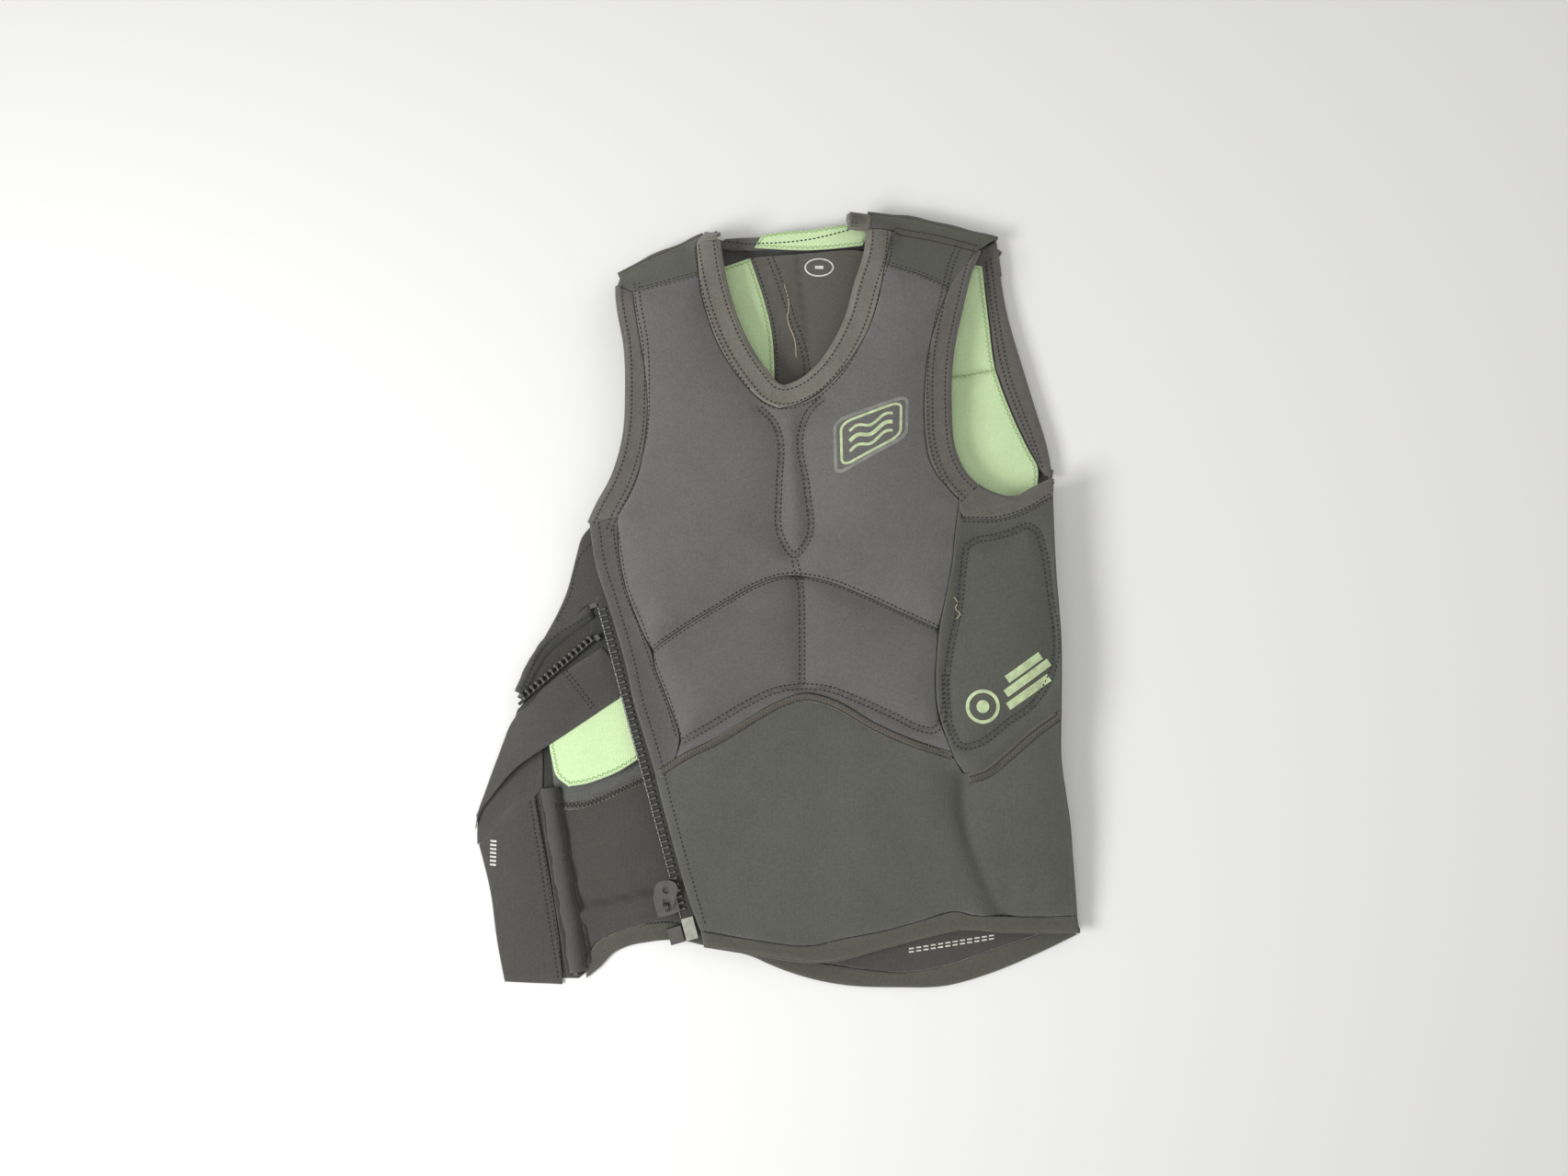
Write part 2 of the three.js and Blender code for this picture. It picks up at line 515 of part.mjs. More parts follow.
function sliderBody() {
  const plan = new THREE.Shape();
  plan.moveTo(-11, -6);
  plan.quadraticCurveTo(-12, 0, -11, 6);
  plan.lineTo(-5, 9);
  plan.lineTo(10, 9);
  plan.lineTo(11, 0);
  plan.lineTo(10, -9);
  plan.lineTo(-5, -9);
  plan.closePath();
  const plate = 1.4;
  const clear = CHAIN_DEPTH / 2 + 0.5;
  const upper = extruded(plan, plate).translate(0, 0, clear);
  const lower = extruded(plan, plate).translate(0, 0, -clear - plate);
  const wedge = box(-9, -4, -1, 1, -clear - 0.1, clear + 0.1);
  const nearLip = box(-5, 10, 8, 9, 1, clear + 0.1);
  const nearLipLow = box(-5, 10, 8, 9, -clear - 0.1, -1);
  const farLip = box(-5, 10, -9, -8, 1, clear + 0.1);
  const farLipLow = box(-5, 10, -9, -8, -clear - 0.1, -1);
  const arch = new THREE.Shape();
  arch.moveTo(3.4, 0);
  arch.lineTo(3.4, 2.6);
  arch.absarc(0, 2.6, 3.4, 0, Math.PI, false);
  arch.lineTo(-3.4, 0);
  arch.closePath();
  const eye = new THREE.Path();
  eye.absarc(0, 2.4, 1.9, 0, Math.PI * 2, true);
  arch.holes.push(eye);
  const crown = extruded(arch, 3).translate(0, 0, -1.5).rotateX(Math.PI / 2);
  crown.translate(ARCH_X, 0, clear + plate - 0.1);
  return united(upper, lower, wedge, nearLip, nearLipLow, farLip, farLipLow, crown);
}

const SLIDER_X = 238;            // where the slider rests, along the row of teeth
const ARCH_X = 4;
const HINGE_Z = CHAIN_DEPTH / 2 + 0.5 + 1.4 - 0.1 + 2.4;

// The pull plate lies from its hinge bar towards the top of the zip and widens away from it.
function pullPlate() {
  const plate = new THREE.Shape();
  plate.moveTo(0.9, -4.6);
  plate.lineTo(0.9, 4.6);
  plate.lineTo(-13, 9.4);
  plate.quadraticCurveTo(-21, 9, -21, 0);
  plate.quadraticCurveTo(-21, -9, -13, -9.4);
  plate.closePath();
  const window = new THREE.Path();
  window.moveTo(-0.9, -2.95);
  window.lineTo(-6.5, -2.95);
  window.lineTo(-6.5, 2.95);
  window.lineTo(-0.9, 2.95);
  window.closePath();
  const hole = new THREE.Path();
  hole.absarc(-13.5, 0, 2.8, 0, Math.PI * 2, true);
  plate.holes.push(window, hole);
  return extruded(plate, 1.8).translate(0, 0, -0.9);
}

function buildZip() {
  const zip = new THREE.Group();
  const top = new THREE.Vector3(...ZIP_TOP);
  const end = new THREE.Vector3(...ZIP_END);
  const along = end.clone().sub(top);
  const length = along.length();
  along.normalize();
  const across = new THREE.Vector3(0, 0, 1).cross(along).normalize();
  const up = along.clone().cross(across).normalize();
  zip.applyMatrix4(new THREE.Matrix4().makeBasis(along, across, up));
  zip.position.copy(top);
  vest.add(zip);

  const rowLength = length + 10;
  const row = toothRow(rowLength);
  add('zip_teeth_front', 'teeth', row, zip);
  const tapeShape = [[-8, GAP], [rowLength + 16, GAP], [rowLength + 16, 11.5], [-8, 11.5]];
  add('zip_tape_front', 'tape', slab(tapeShape, -TAPE / 2, TAPE / 2), zip);
  add('zip_top_stop_front', 'plastic', box(-4, -0.4, -6, -0.4, -2.2, 2.2), zip);

  const middle = -TOOTH_ROOT - TOOTH_REACH - 1.5;
  const slider = add('zip_slider', 'plastic', sliderBody(), zip);
  slider.position.set(SLIDER_X, middle, 0);
  const puller = add('zip_puller', 'plastic', pullPlate(), zip);
  puller.position.set(SLIDER_X + ARCH_X, middle, HINGE_Z);
  puller.rotation.z = -PULLER_SKEW * Math.PI / 180;
  add('zip_retainer_box', 'plastic', box(rowLength + 5, rowLength + 18, -12.5, -1.5, -3.4, 3.4), zip);
  const block = [[rowLength + 0.5, 0], [rowLength + 18, 0], [rowLength + 18, 9.5],
    [rowLength + 0.5, 9.5]];
  const blockTop = slab(block, TAPE / 2 + GAP, 3.4);
  add('zip_end_block', 'plastic', blockTop, zip);
}

buildBack();
buildFront();
buildEdges();
buildSide();
buildZipSide();
buildZip();

export default vest;
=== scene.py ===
import math
import bpy
import numpy as np
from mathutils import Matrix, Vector
from mathutils.bvhtree import BVHTree
from mathutils.geometry import delaunay_2d_cdt


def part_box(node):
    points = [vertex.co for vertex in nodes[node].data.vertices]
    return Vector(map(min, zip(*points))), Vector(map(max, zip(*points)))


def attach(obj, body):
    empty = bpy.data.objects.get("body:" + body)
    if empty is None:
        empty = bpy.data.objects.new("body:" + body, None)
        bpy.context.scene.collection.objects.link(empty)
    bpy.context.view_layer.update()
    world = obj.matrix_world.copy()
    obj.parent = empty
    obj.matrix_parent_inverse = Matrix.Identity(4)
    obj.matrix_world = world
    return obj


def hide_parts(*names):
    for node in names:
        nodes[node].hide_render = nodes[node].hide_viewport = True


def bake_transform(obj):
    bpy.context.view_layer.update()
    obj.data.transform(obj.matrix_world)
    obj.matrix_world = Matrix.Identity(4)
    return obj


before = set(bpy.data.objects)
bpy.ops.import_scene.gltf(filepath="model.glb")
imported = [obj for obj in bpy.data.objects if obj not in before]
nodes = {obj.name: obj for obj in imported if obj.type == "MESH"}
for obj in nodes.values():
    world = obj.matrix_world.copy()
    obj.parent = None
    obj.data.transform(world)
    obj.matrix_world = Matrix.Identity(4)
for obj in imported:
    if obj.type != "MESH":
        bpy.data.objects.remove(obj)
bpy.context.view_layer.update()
mm = 0.001
print("stage: frame loaded,", len(nodes), "CAD nodes")

# camera and light
camera = {"lens": 33.0, "target": (0.005, 0.009, 0.025), "distance": 1.15, "elevation": 84}
cam = bpy.data.objects.new("camera", bpy.data.cameras.new("camera"))
cam.data.lens = camera["lens"]
cam.data.sensor_width = 36
cam.data.clip_start = 0.05
cam.data.clip_end = 20
lean = math.radians(camera["elevation"])
away = Vector((0, -math.cos(lean), math.sin(lean)))
cam.location = Vector(camera["target"]) + away * camera["distance"]
cam.rotation_mode = "QUATERNION"
cam.rotation_quaternion = (-away).to_track_quat("-Z", "Y")
bpy.context.scene.collection.objects.link(cam)
bpy.context.scene.camera = cam

studio = {"sky": 0.42, "key": 21, "fill": 4, "over": 6}


def softBox(name, place, size, power):
    lamp = bpy.data.lights.new(name, "AREA")
    lamp.shape = "RECTANGLE"
    lamp.size, lamp.size_y = size
    lamp.energy = power
    box = bpy.data.objects.new(name, lamp)
    box.location = place
    box.rotation_mode = "QUATERNION"
    box.rotation_quaternion = Vector(place).to_track_quat("Z", "Y")
    bpy.context.scene.collection.objects.link(box)


softBox("keyLight", (-1.05, -0.45, 1.15), (0.7, 0.6), studio["key"])
softBox("fillLight", (0.9, 0.5, 1.4), (1.2, 1.0), studio["fill"])
softBox("overLight", (-0.1, -0.3, 1.9), (1.0, 1.0), studio["over"])
bpy.context.scene.view_settings.view_transform = "Standard"
world = bpy.data.worlds.new("studio")
world.use_nodes = True
world.node_tree.nodes["Background"].inputs["Color"].default_value = (1, 0.99, 0.97, 1)
world.node_tree.nodes["Background"].inputs["Strength"].default_value = studio["sky"]
bpy.context.scene.world = world


# materials
def linear(colour):
    return tuple((c / 255 / 12.92) if c < 10 else ((c / 255 + 0.055) / 1.055) ** 2.4 for c in colour) + (1,)


def shade(colour, factor):
    return tuple(min(1, c * factor) for c in colour[:3]) + (1,)


def newMaterial(name):
    mat = bpy.data.materials.new(name)
    mat.use_nodes = True
    tree = mat.node_tree
    skin = tree.nodes["Principled BSDF"]
    where = tree.nodes.new("ShaderNodeTexCoord").outputs["Object"]
    return mat, tree, skin, where


def noise(tree, where, scale, detail=3, rough=0.55):
    n = tree.nodes.new("ShaderNodeTexNoise")
    n.inputs["Scale"].default_value = scale
    n.inputs["Detail"].default_value = detail
    n.inputs["Roughness"].default_value = rough
    tree.links.new(where, n.inputs["Vector"])
    return n.outputs["Fac"]


def ribs(tree, where, pitch, axis="X", wobble=0.6):
    w = tree.nodes.new("ShaderNodeTexWave")
    w.bands_direction = axis
    w.inputs["Scale"].default_value = 2 * math.pi / (20 * pitch)
    w.inputs["Distortion"].default_value = wobble
    w.inputs["Detail"].default_value = 1
    w.inputs["Detail Scale"].default_value = 3
    tree.links.new(where, w.inputs["Vector"])
    return w.outputs["Fac"]


def ramp(tree, value, low, high, first=0.0, last=1.0):
    r = tree.nodes.new("ShaderNodeMapRange")
    r.inputs["From Min"].default_value = low
    r.inputs["From Max"].default_value = high
    r.inputs["To Min"].default_value = first
    r.inputs["To Max"].default_value = last
    tree.links.new(value, r.inputs["Value"])
    return r.outputs["Result"]


def maths(tree, kind, a, b):
    m = tree.nodes.new("ShaderNodeMath")
    m.operation = kind
    for socket, value in zip(m.inputs, (a, b)):
        if isinstance(value, (int, float)):
            socket.default_value = value
        else:
            tree.links.new(value, socket)
    return m.outputs[0]


def mixed(tree, factor, a, b):
    m = tree.nodes.new("ShaderNodeMix")
    m.data_type = "RGBA"
    for socket, value in ((m.inputs["Factor"], factor), (m.inputs["A"], a), (m.inputs["B"], b)):
        if isinstance(value, (int, float, tuple)):
            socket.default_value = value
        else:
            tree.links.new(value, socket)
    return m.outputs["Result"]


def attribute(tree, name):
    a = tree.nodes.new("ShaderNodeAttribute")
    a.attribute_name = name
    return a.outputs["Fac"]


def bump(tree, skin, height, strength, distance):
    b = tree.nodes.new("ShaderNodeBump")
    b.inputs["Strength"].default_value = strength
    b.inputs["Distance"].default_value = distance
    tree.links.new(height, b.inputs["Height"])
    tree.links.new(b.outputs["Normal"], skin.inputs["Normal"])


def clothMaterial(name, colour, pitch=0.0011, fade=0.16, lint=0.5, rough=0.84, sheen=0.25, worn=1.5, axis="X",
                  depth=0.00025, seamShade=0.55):
    mat, tree, skin, where = newMaterial(name)
    base = linear(colour)
    broad = noise(tree, where, 9, 4)
    middle = noise(tree, where, 70, 4, 0.65)
    fine = noise(tree, where, 1100, 2)
    grain = noise(tree, where, 420, 3, 0.7)
    knit = ribs(tree, where, pitch, axis)
    cross = ribs(tree, where, pitch * 0.8, "Y" if axis == "X" else "X", 1.0)
    tone = mixed(tree, ramp(tree, broad, 0.3, 0.7), shade(base, 1 - fade), shade(base, 1 + fade))
    tone = mixed(tree, ramp(tree, middle, 0.35, 0.75, 0, 0.5), tone, shade(base, 1 + fade * 1.5))
    weave = maths(tree, "MULTIPLY", knit, cross)
    tone = mixed(tree, ramp(tree, weave, 0.0, 0.9, 0.28, 0.0), tone, shade(base, 0.62))
    tone = mixed(tree, ramp(tree, fine, 0.42, 0.72, 0, min(0.45, fade * 2.8)), tone, shade(base, 1.6))
    tone = mixed(tree, ramp(tree, grain, 0.36, 0.56, min(0.3, fade * 1.9), 0), tone, shade(base, 0.6))
    flecks = tree.nodes.new("ShaderNodeTexVoronoi")
    flecks.inputs["Scale"].default_value = 95
    tree.links.new(where, flecks.inputs["Vector"])
    speck = ramp(tree, flecks.outputs["Distance"], 0.03, 0.055, lint, 0)
    sparse = ramp(tree, noise(tree, where, 33, 1), 0.56, 0.6)
    tone = mixed(tree, maths(tree, "MULTIPLY", speck, sparse), tone, shade(base, 3.2))
    # painted shade: the groove mask darkens the colour along the seam rows, standing in for the shade that
    # falls in the stitched grooves
    tone = mixed(tree, maths(tree, "MULTIPLY", attribute(tree, "groove"), seamShade), tone, shade(base, 0.42))
    wear = maths(tree, "MULTIPLY", attribute(tree, "rim"), ramp(tree, middle, 0.3, 0.65, 0.15, 0.75))
    tone = mixed(tree, wear, tone, shade(base, worn))
    tree.links.new(tone, skin.inputs["Base Color"])
    tree.links.new(ramp(tree, middle, 0.2, 0.8, rough - 0.1, min(1, rough + 0.08)), skin.inputs["Roughness"])
    skin.inputs["Sheen Weight"].default_value = sheen
    skin.inputs["Sheen Roughness"].default_value = 0.45
    skin.inputs["Specular IOR Level"].default_value = 0.28
    height = maths(tree, "ADD", weave, maths(tree, "MULTIPLY", fine, 0.7))
    bump(tree, skin, maths(tree, "ADD", height, grain), 0.8, depth)
    return mat


def plasticMaterial(name, colour, rough=0.32, wear=1.9, grain=0.00006):
    mat, tree, skin, where = newMaterial(name)
    base = linear(colour)
    patches = noise(tree, where, 160, 4)
    scratch = noise(tree, where, 2600, 3)
    tone = mixed(tree, ramp(tree, patches, 0.35, 0.7), shade(base, 0.8), shade(base, 1.2))
    tone = mixed(tree, ramp(tree, scratch, 0.58, 0.75, 0, 0.45), tone, shade(base, wear))
    tree.links.new(tone, skin.inputs["Base Color"])
    tree.links.new(ramp(tree, scratch, 0.3, 0.7, rough * 0.75, rough * 1.35), skin.inputs["Roughness"])
    skin.inputs["Specular IOR Level"].default_value = 0.55
    skin.inputs["Coat Weight"].default_value = 0.15
    bump(tree, skin, maths(tree, "ADD", patches, scratch), 0.4, grain)
    return mat


def threadMaterial(name, colour):
    mat, tree, skin, where = newMaterial(name)
    base = linear(colour)
    ply = noise(tree, where, 2200, 2)
    tone = mixed(tree, ramp(tree, ply, 0.35, 0.65), shade(base, 0.7), shade(base, 1.25))
    tree.links.new(tone, skin.inputs["Base Color"])
    skin.inputs["Roughness"].default_value = 0.62
    skin.inputs["Sheen Weight"].default_value = 0.2
    bump(tree, skin, ply, 0.5, 0.0001)
    return mat


def foamMaterial(name, colour):
    mat, tree, skin, where = newMaterial(name)
    base = linear(colour)
    cells = tree.nodes.new("ShaderNodeTexVoronoi")
    cells.inputs["Scale"].default_value = 900
    tree.links.new(where, cells.inputs["Vector"])
    tone = mixed(tree, ramp(tree, noise(tree, where, 30), 0.3, 0.7), shade(base, 0.85), shade(base, 1.1))
    tone = mixed(tree, ramp(tree, cells.outputs["Distance"], 0.1, 0.5, 0.25, 0), tone, shade(base, 0.6))
    tree.links.new(tone, skin.inputs["Base Color"])
    skin.inputs["Roughness"].default_value = 0.8
    bump(tree, skin, cells.outputs["Distance"], 0.4, 0.0004)
    return mat


cloths = {
    "chest": clothMaterial("chestNeoprene", (99, 98, 97)),
    # the same neoprene as the chest, made darker as painted shade for shoulder yokes that slope away from the
    # light
    "yoke": clothMaterial("yokeShadedNeoprene", (84, 84, 78)),
    "placket": clothMaterial("placketNeoprene", (84, 83, 81)),
    "belly": clothMaterial("bellyNeoprene", (94, 93, 92)),
    "stretch": clothMaterial("stretchNeoprene", (84, 85, 78), pitch=0.0009),
    "side": clothMaterial("sideNeoprene", (82, 83, 77), pitch=0.0009),
    "roll": clothMaterial("rolledNeoprene", (60, 60, 57), pitch=0.0009),
    "flap": clothMaterial("flapNeoprene", (74, 73, 70), pitch=0.0009),
    "inside": clothMaterial("insideNeoprene", (70, 69, 65), pitch=0.0009, fade=0.2),
    "back": clothMaterial("backNeoprene", (92, 92, 90)),
    "neck": clothMaterial("neckBinding", (110, 107, 99), pitch=0.0013, fade=0.22, worn=1.7, axis="Y"),
    "band": clothMaterial("armBinding", (94, 91, 87), pitch=0.0013, fade=0.2, axis="Y"),
    "hem": clothMaterial("hemBinding", (80, 80, 73), pitch=0.0011, axis="Y"),
    "tape": clothMaterial("flatlockTape", (82, 77, 70), pitch=0.0016, fade=0.25, rough=0.6, sheen=0.4,
                          seamShade=0.7, depth=0.0005),
    "dark": clothMaterial("darkLining", (92, 89, 83), pitch=0.0008, fade=0.14, sheen=0.35),
    "green": clothMaterial("greenLining", (206, 233, 180), pitch=0.0012, fade=0.07, lint=0.0, worn=0.72,
                           sheen=0.4, seamShade=0.5),
    "zipTape": clothMaterial("zipTape", (62, 60, 56), pitch=0.0012, fade=0.15, rough=0.7, axis="Y",
                             depth=0.0004),
    "print": plasticMaterial("printInk", (178, 194, 150), rough=0.55),
    "printDark": plasticMaterial("printShadow", (122, 122, 117), rough=0.6),
    "printWhite": plasticMaterial("printWhite", (205, 205, 196), rough=0.6),
    "teeth": plasticMaterial("zipTeeth", (40, 39, 38), rough=0.24),
    "zipBody": plasticMaterial("zipBody", (60, 59, 56), rough=0.36),
    "zipBlock": plasticMaterial("zipBlock", (146, 148, 134), rough=0.4),
    "foam": foamMaterial("closedCellFoam", (150, 150, 143)),
    "thread": threadMaterial("stitchThread", (31, 30, 30)),
    "threadBrown": threadMaterial("flatlockThread", (92, 86, 78)),
    "threadGreen": threadMaterial("greenThread", (148, 178, 122)),
    "threadPale": threadMaterial("looseThread", (205, 190, 160)),
}
print("stage: materials made,", len(cloths))


# curves, outlines and meshes
def resample(path, step):
    run = np.concatenate([[0], np.cumsum(np.linalg.norm(np.diff(path, axis=0), axis=1))])
    count = max(1, int(round(run[-1] / step)))
    at = np.linspace(0, run[-1], count + 1)
    return np.stack([np.interp(at, run, path[:, k]) for k in range(path.shape[1])], 1)


def spline(points, step):
    p = np.array(points, float)
    if len(p) < 3:
        return resample(p, step)
    p = np.vstack([2 * p[0] - p[1], p, 2 * p[-1] - p[-2]])
    out = []
    for i in range(1, len(p) - 2):
        a, b, c, d = p[i - 1:i + 3]
        l1, l2, l3 = (max(1e-9, np.linalg.norm(v)) for v in (b - a, c - b, d - c))
        m1 = l2 * ((b - a) / l1 - (c - a) / (l1 + l2) + (c - b) / l2)
        m2 = l2 * ((c - b) / l2 - (d - b) / (l2 + l3) + (d - c) / l3)
        t = (np.arange(8) / 8)[:, None]
        out.append((2 * t**3 - 3 * t**2 + 1) * b + (t**3 - 2 * t**2 + t) * m1
                   + (3 * t**2 - 2 * t**3) * c + (t**3 - t**2) * m2)
    out.append(p[-2:-1])
    return resample(np.vstack(out), step)


def outlineOf(name, up=True):
    mesh = nodes[name].data
    sign = 1 if up else -1
    edges = set()
    for face in mesh.polygons:
        if face.normal.z * sign < 0.35:
            continue
        ring = [tuple(round(c, 5) for c in mesh.vertices[i].co) for i in face.vertices]
        for a, b in zip(ring, ring[1:] + ring[:1]):
            if a == b:
                continue
            if (b, a) in edges:
                edges.discard((b, a))
            else:
                edges.add((a, b))
    follow = {}
    for a, b in sorted(edges):
        follow.setdefault(a, []).append(b)
    loops = []
    while follow:
        start = next(iter(follow))
        ring = [start]
        at = start
        while at in follow:
            following = follow[at].pop()
            if not follow[at]:
                del follow[at]
            at = following
            if at == start:
                break
            ring.append(at)
        loops.append(ring)
    return np.array(max(loops, key=len))


def roundedLoop(ring, step, corner=34):
    pts = [ring[0]]
    for p in ring[1:]:
        if np.linalg.norm(p[:2] - pts[-1][:2]) > 0.0008:
            pts.append(p)
    if np.linalg.norm(pts[0][:2] - pts[-1][:2]) < 0.0008:
        pts.pop()
    pts = np.array(pts)
    a = pts - np.roll(pts, 1, 0)
    b = np.roll(pts, -1, 0) - pts
    before, after = (np.arctan2(v[:, 1], v[:, 0]) for v in (a, b))
    turn = np.abs((after - before + math.pi) % (2 * math.pi) - math.pi)
    corners = [i for i in range(len(pts)) if turn[i] > math.radians(corner)] or [0]
    out = []
    for i, c in enumerate(corners):
        end = corners[(i + 1) % len(corners)]
        span = (end - c) % len(pts) or len(pts)
        run = pts[[(c + k) % len(pts) for k in range(span + 1)]]
        out.append(spline(run, step)[:-1])
    return np.vstack(out)


def distanceTo(xy, path, closed=False):
    a = path[:, :2]
    b = np.roll(a, -1, 0)
    if not closed:
        a, b = a[:-1], b[:-1]
    best = np.full(len(xy), 1e9)
    for s in range(0, len(xy), 4000):
        p = xy[s:s + 4000, None]
        d = (b - a)[None]
        t = np.clip(((p - a) * d).sum(2) / np.maximum(1e-14, (d * d).sum(2)), 0, 1)[..., None]
        best[s:s + 4000] = np.sqrt((((a + t * d) - p) ** 2).sum(2)).min(1)
    return best


def insideOf(xy, loop):
    a = loop[:, :2]
    b = np.roll(a, -1, 0)
    hit = np.zeros(len(xy), bool)
    for (x1, y1), (x2, y2) in zip(a, b):
        if y1 == y2:
            continue
        crosses = (xy[:, 1] > min(y1, y2)) & (xy[:, 1] <= max(y1, y2))
        hit ^= crosses & (xy[:, 0] < x1 + (xy[:, 1] - y1) * (x2 - x1) / (y2 - y1))
    return hit


def gridMesh(loop, step, rings):
    area = 0.5 * (loop[:, 0] * np.roll(loop[:, 1], -1) - np.roll(loop[:, 0], -1) * loop[:, 1]).sum()
    if area < 0:
        loop = loop[::-1]
    xy = loop[:, :2]
    tangent = np.roll(xy, -1, 0) - np.roll(xy, 1, 0)
    inward = np.stack([-tangent[:, 1], tangent[:, 0]], 1)
    inward /= np.maximum(1e-9, np.linalg.norm(inward, axis=1))[:, None]
    points = [xy]
    for r in rings:
        p = xy + inward * r
        points.append(p[insideOf(p, xy) & (distanceTo(p, xy, True) > 0.85 * r)])
    lo, hi = xy.min(0), xy.max(0)
    rows = np.arange(lo[1], hi[1], step * 0.866)
    cols = np.arange(lo[0], hi[0], step)
    g = np.array([(x + (0.5 * step if j % 2 else 0), y) for j, y in enumerate(rows) for x in cols])
    g = g[insideOf(g, xy)]
    g = g[distanceTo(g, xy, True) > rings[-1] + 0.45 * step]
    points.append(g)
    points = np.vstack(points)
    n = len(xy)
    ring = [(i, (i + 1) % n) for i in range(n)]
    verts, _, faces, _, _, _ = delaunay_2d_cdt([Vector(p) for p in points], ring, [], 1, 1e-6)
    verts = np.array([tuple(v) for v in verts])
    faces = np.array([f if cross2(verts[f]) > 0 else f[::-1] for f in faces])
    return verts, faces


def cross2(p):
    return (p[1, 0] - p[0, 0]) * (p[2, 1] - p[0, 1]) - (p[1, 1] - p[0, 1]) * (p[2, 0] - p[0, 0])


class heightField:

    def __init__(self, names, blur, cell=0.002, up=True):
        verts, faces = [], []
        for name in names:
            mesh = nodes[name].data
            start = len(verts)
            verts += [v.co.copy() for v in mesh.vertices]
            faces += [[start + i for i in f.vertices] for f in mesh.polygons]
        tree = BVHTree.FromPolygons(verts, faces)
        lo = np.array(verts).min(0) - 0.02
        hi = np.array(verts).max(0) + 0.02
        self.origin, self.cell = lo[:2], cell
        nx, ny = (int((hi[k] - lo[k]) / cell) + 1 for k in (0, 1))
        z = np.full((nx, ny), np.nan)
        sign = 1 if up else -1
        for i in range(nx):
            for j in range(ny):
                start = Vector((lo[0] + i * cell, lo[1] + j * cell, 0.3 * sign))
                hit = tree.ray_cast(start, Vector((0, 0, -sign)))
                if hit[0]:
                    z[i, j] = hit[0].z
        mask = (~np.isnan(z)).astype(float)
        z = np.nan_to_num(z)
        reach = max(1, int(round(3 * blur / cell)))
        kernel = np.exp(-0.5 * (np.arange(-reach, reach + 1) * cell / blur) ** 2)
        soft = [z * mask, mask]
        for k in (0, 1):
            soft = [np.apply_along_axis(lambda r: np.convolve(r, kernel, "same"), k, s) for s in soft]
        value = soft[0] / np.maximum(soft[1], 1e-12)
        known = soft[1] > 1e-6
        for _ in range(30):  # carries the heights a little past the edge
            if known.all():
                break
            total, count = np.zeros_like(value), np.zeros_like(value)
            for dx, dy in ((1, 0), (-1, 0), (0, 1), (0, -1)):
                total += np.roll(value * known, (dx, dy), (0, 1))
                count += np.roll(known, (dx, dy), (0, 1))
            grow = ~known & (count > 0)
            value[grow] = total[grow] / count[grow]
            known |= grow
        self.value = value

    def __call__(self, xy):
        f = (xy - self.origin) / self.cell
        top = np.array(self.value.shape) - 2
        f = np.clip(f, 0, top + 0.999)
        i = np.minimum(f.astype(int), top)
        t = f - i
        v = self.value
        return ((v[i[:, 0], i[:, 1]] * (1 - t[:, 0]) + v[i[:, 0] + 1, i[:, 1]] * t[:, 0]) * (1 - t[:, 1])
                + (v[i[:, 0], i[:, 1] + 1] * (1 - t[:, 0]) + v[i[:, 0] + 1, i[:, 1] + 1] * t[:, 0]) * t[:, 1])


def normalsOf(verts, faces):
    n = np.zeros_like(verts)
    fn = np.cross(verts[faces[:, 1]] - verts[faces[:, 0]], verts[faces[:, 2]] - verts[faces[:, 0]])
    for k in range(3):
        np.add.at(n, faces[:, k], fn)
    return n / np.maximum(1e-12, np.linalg.norm(n, axis=1))[:, None]


def rimLoop(faces):
    seen = {}
    for f in faces:
        for a, b in ((f[0], f[1]), (f[1], f[2]), (f[2], f[0])):
            seen[(int(a), int(b))] = True
    return [(a, b) for a, b in seen if (b, a) not in seen]


def newObject(name, verts, faces, material, smooth=True):
    mesh = bpy.data.meshes.new(name)
    mesh.from_pydata([tuple(v) for v in verts], [], [list(map(int, f)) for f in faces])
    mesh.update()
    if smooth:
        mesh.polygons.foreach_set("use_smooth", [True] * len(mesh.polygons))
    mesh.materials.append(material)
    obj = bpy.data.objects.new(name, mesh)
    bpy.context.scene.collection.objects.link(obj)
    return obj


def putAttribute(obj, name, values):
    obj.data.attributes.new(name, "FLOAT", "POINT").data.foreach_set("value", np.asarray(values, np.float32))


def closedMesh(upper, lower, faces):
    # one closed mesh between two surfaces that share their faces
    count = len(upper)
    allFaces = [list(f) for f in faces] + [[count + f[2], count + f[1], count + f[0]] for f in faces]
    allFaces += [[a, count + a, count + b, b] for a, b in rimLoop(faces)]
    return np.vstack([upper, lower]), allFaces


def thicken(verts, faces, thickness):
    return closedMesh(verts, verts - normalsOf(verts, faces) * thickness, faces)


castHeight = 0.2


def dropOn(cover, x, y):
    return cover.ray_cast(Vector((x, y, castHeight)), Vector((0, 0, -1)))


# the common surface of the front, and how cloth billows between its seams
frontNodes = ["chest_panel", "abdomen_panel", "zip_placket", "front_skirt_panel", "front_hem_band",
              "neck_band", "shoulder_yoke_left", "shoulder_yoke_right", "shoulder_back_yoke_right",
              "armhole_band_left", "armhole_band_right", "side_panel", "side_panel_binding"]
frontField = heightField(frontNodes, blur=0.0055)
print("stage: front surface sampled")

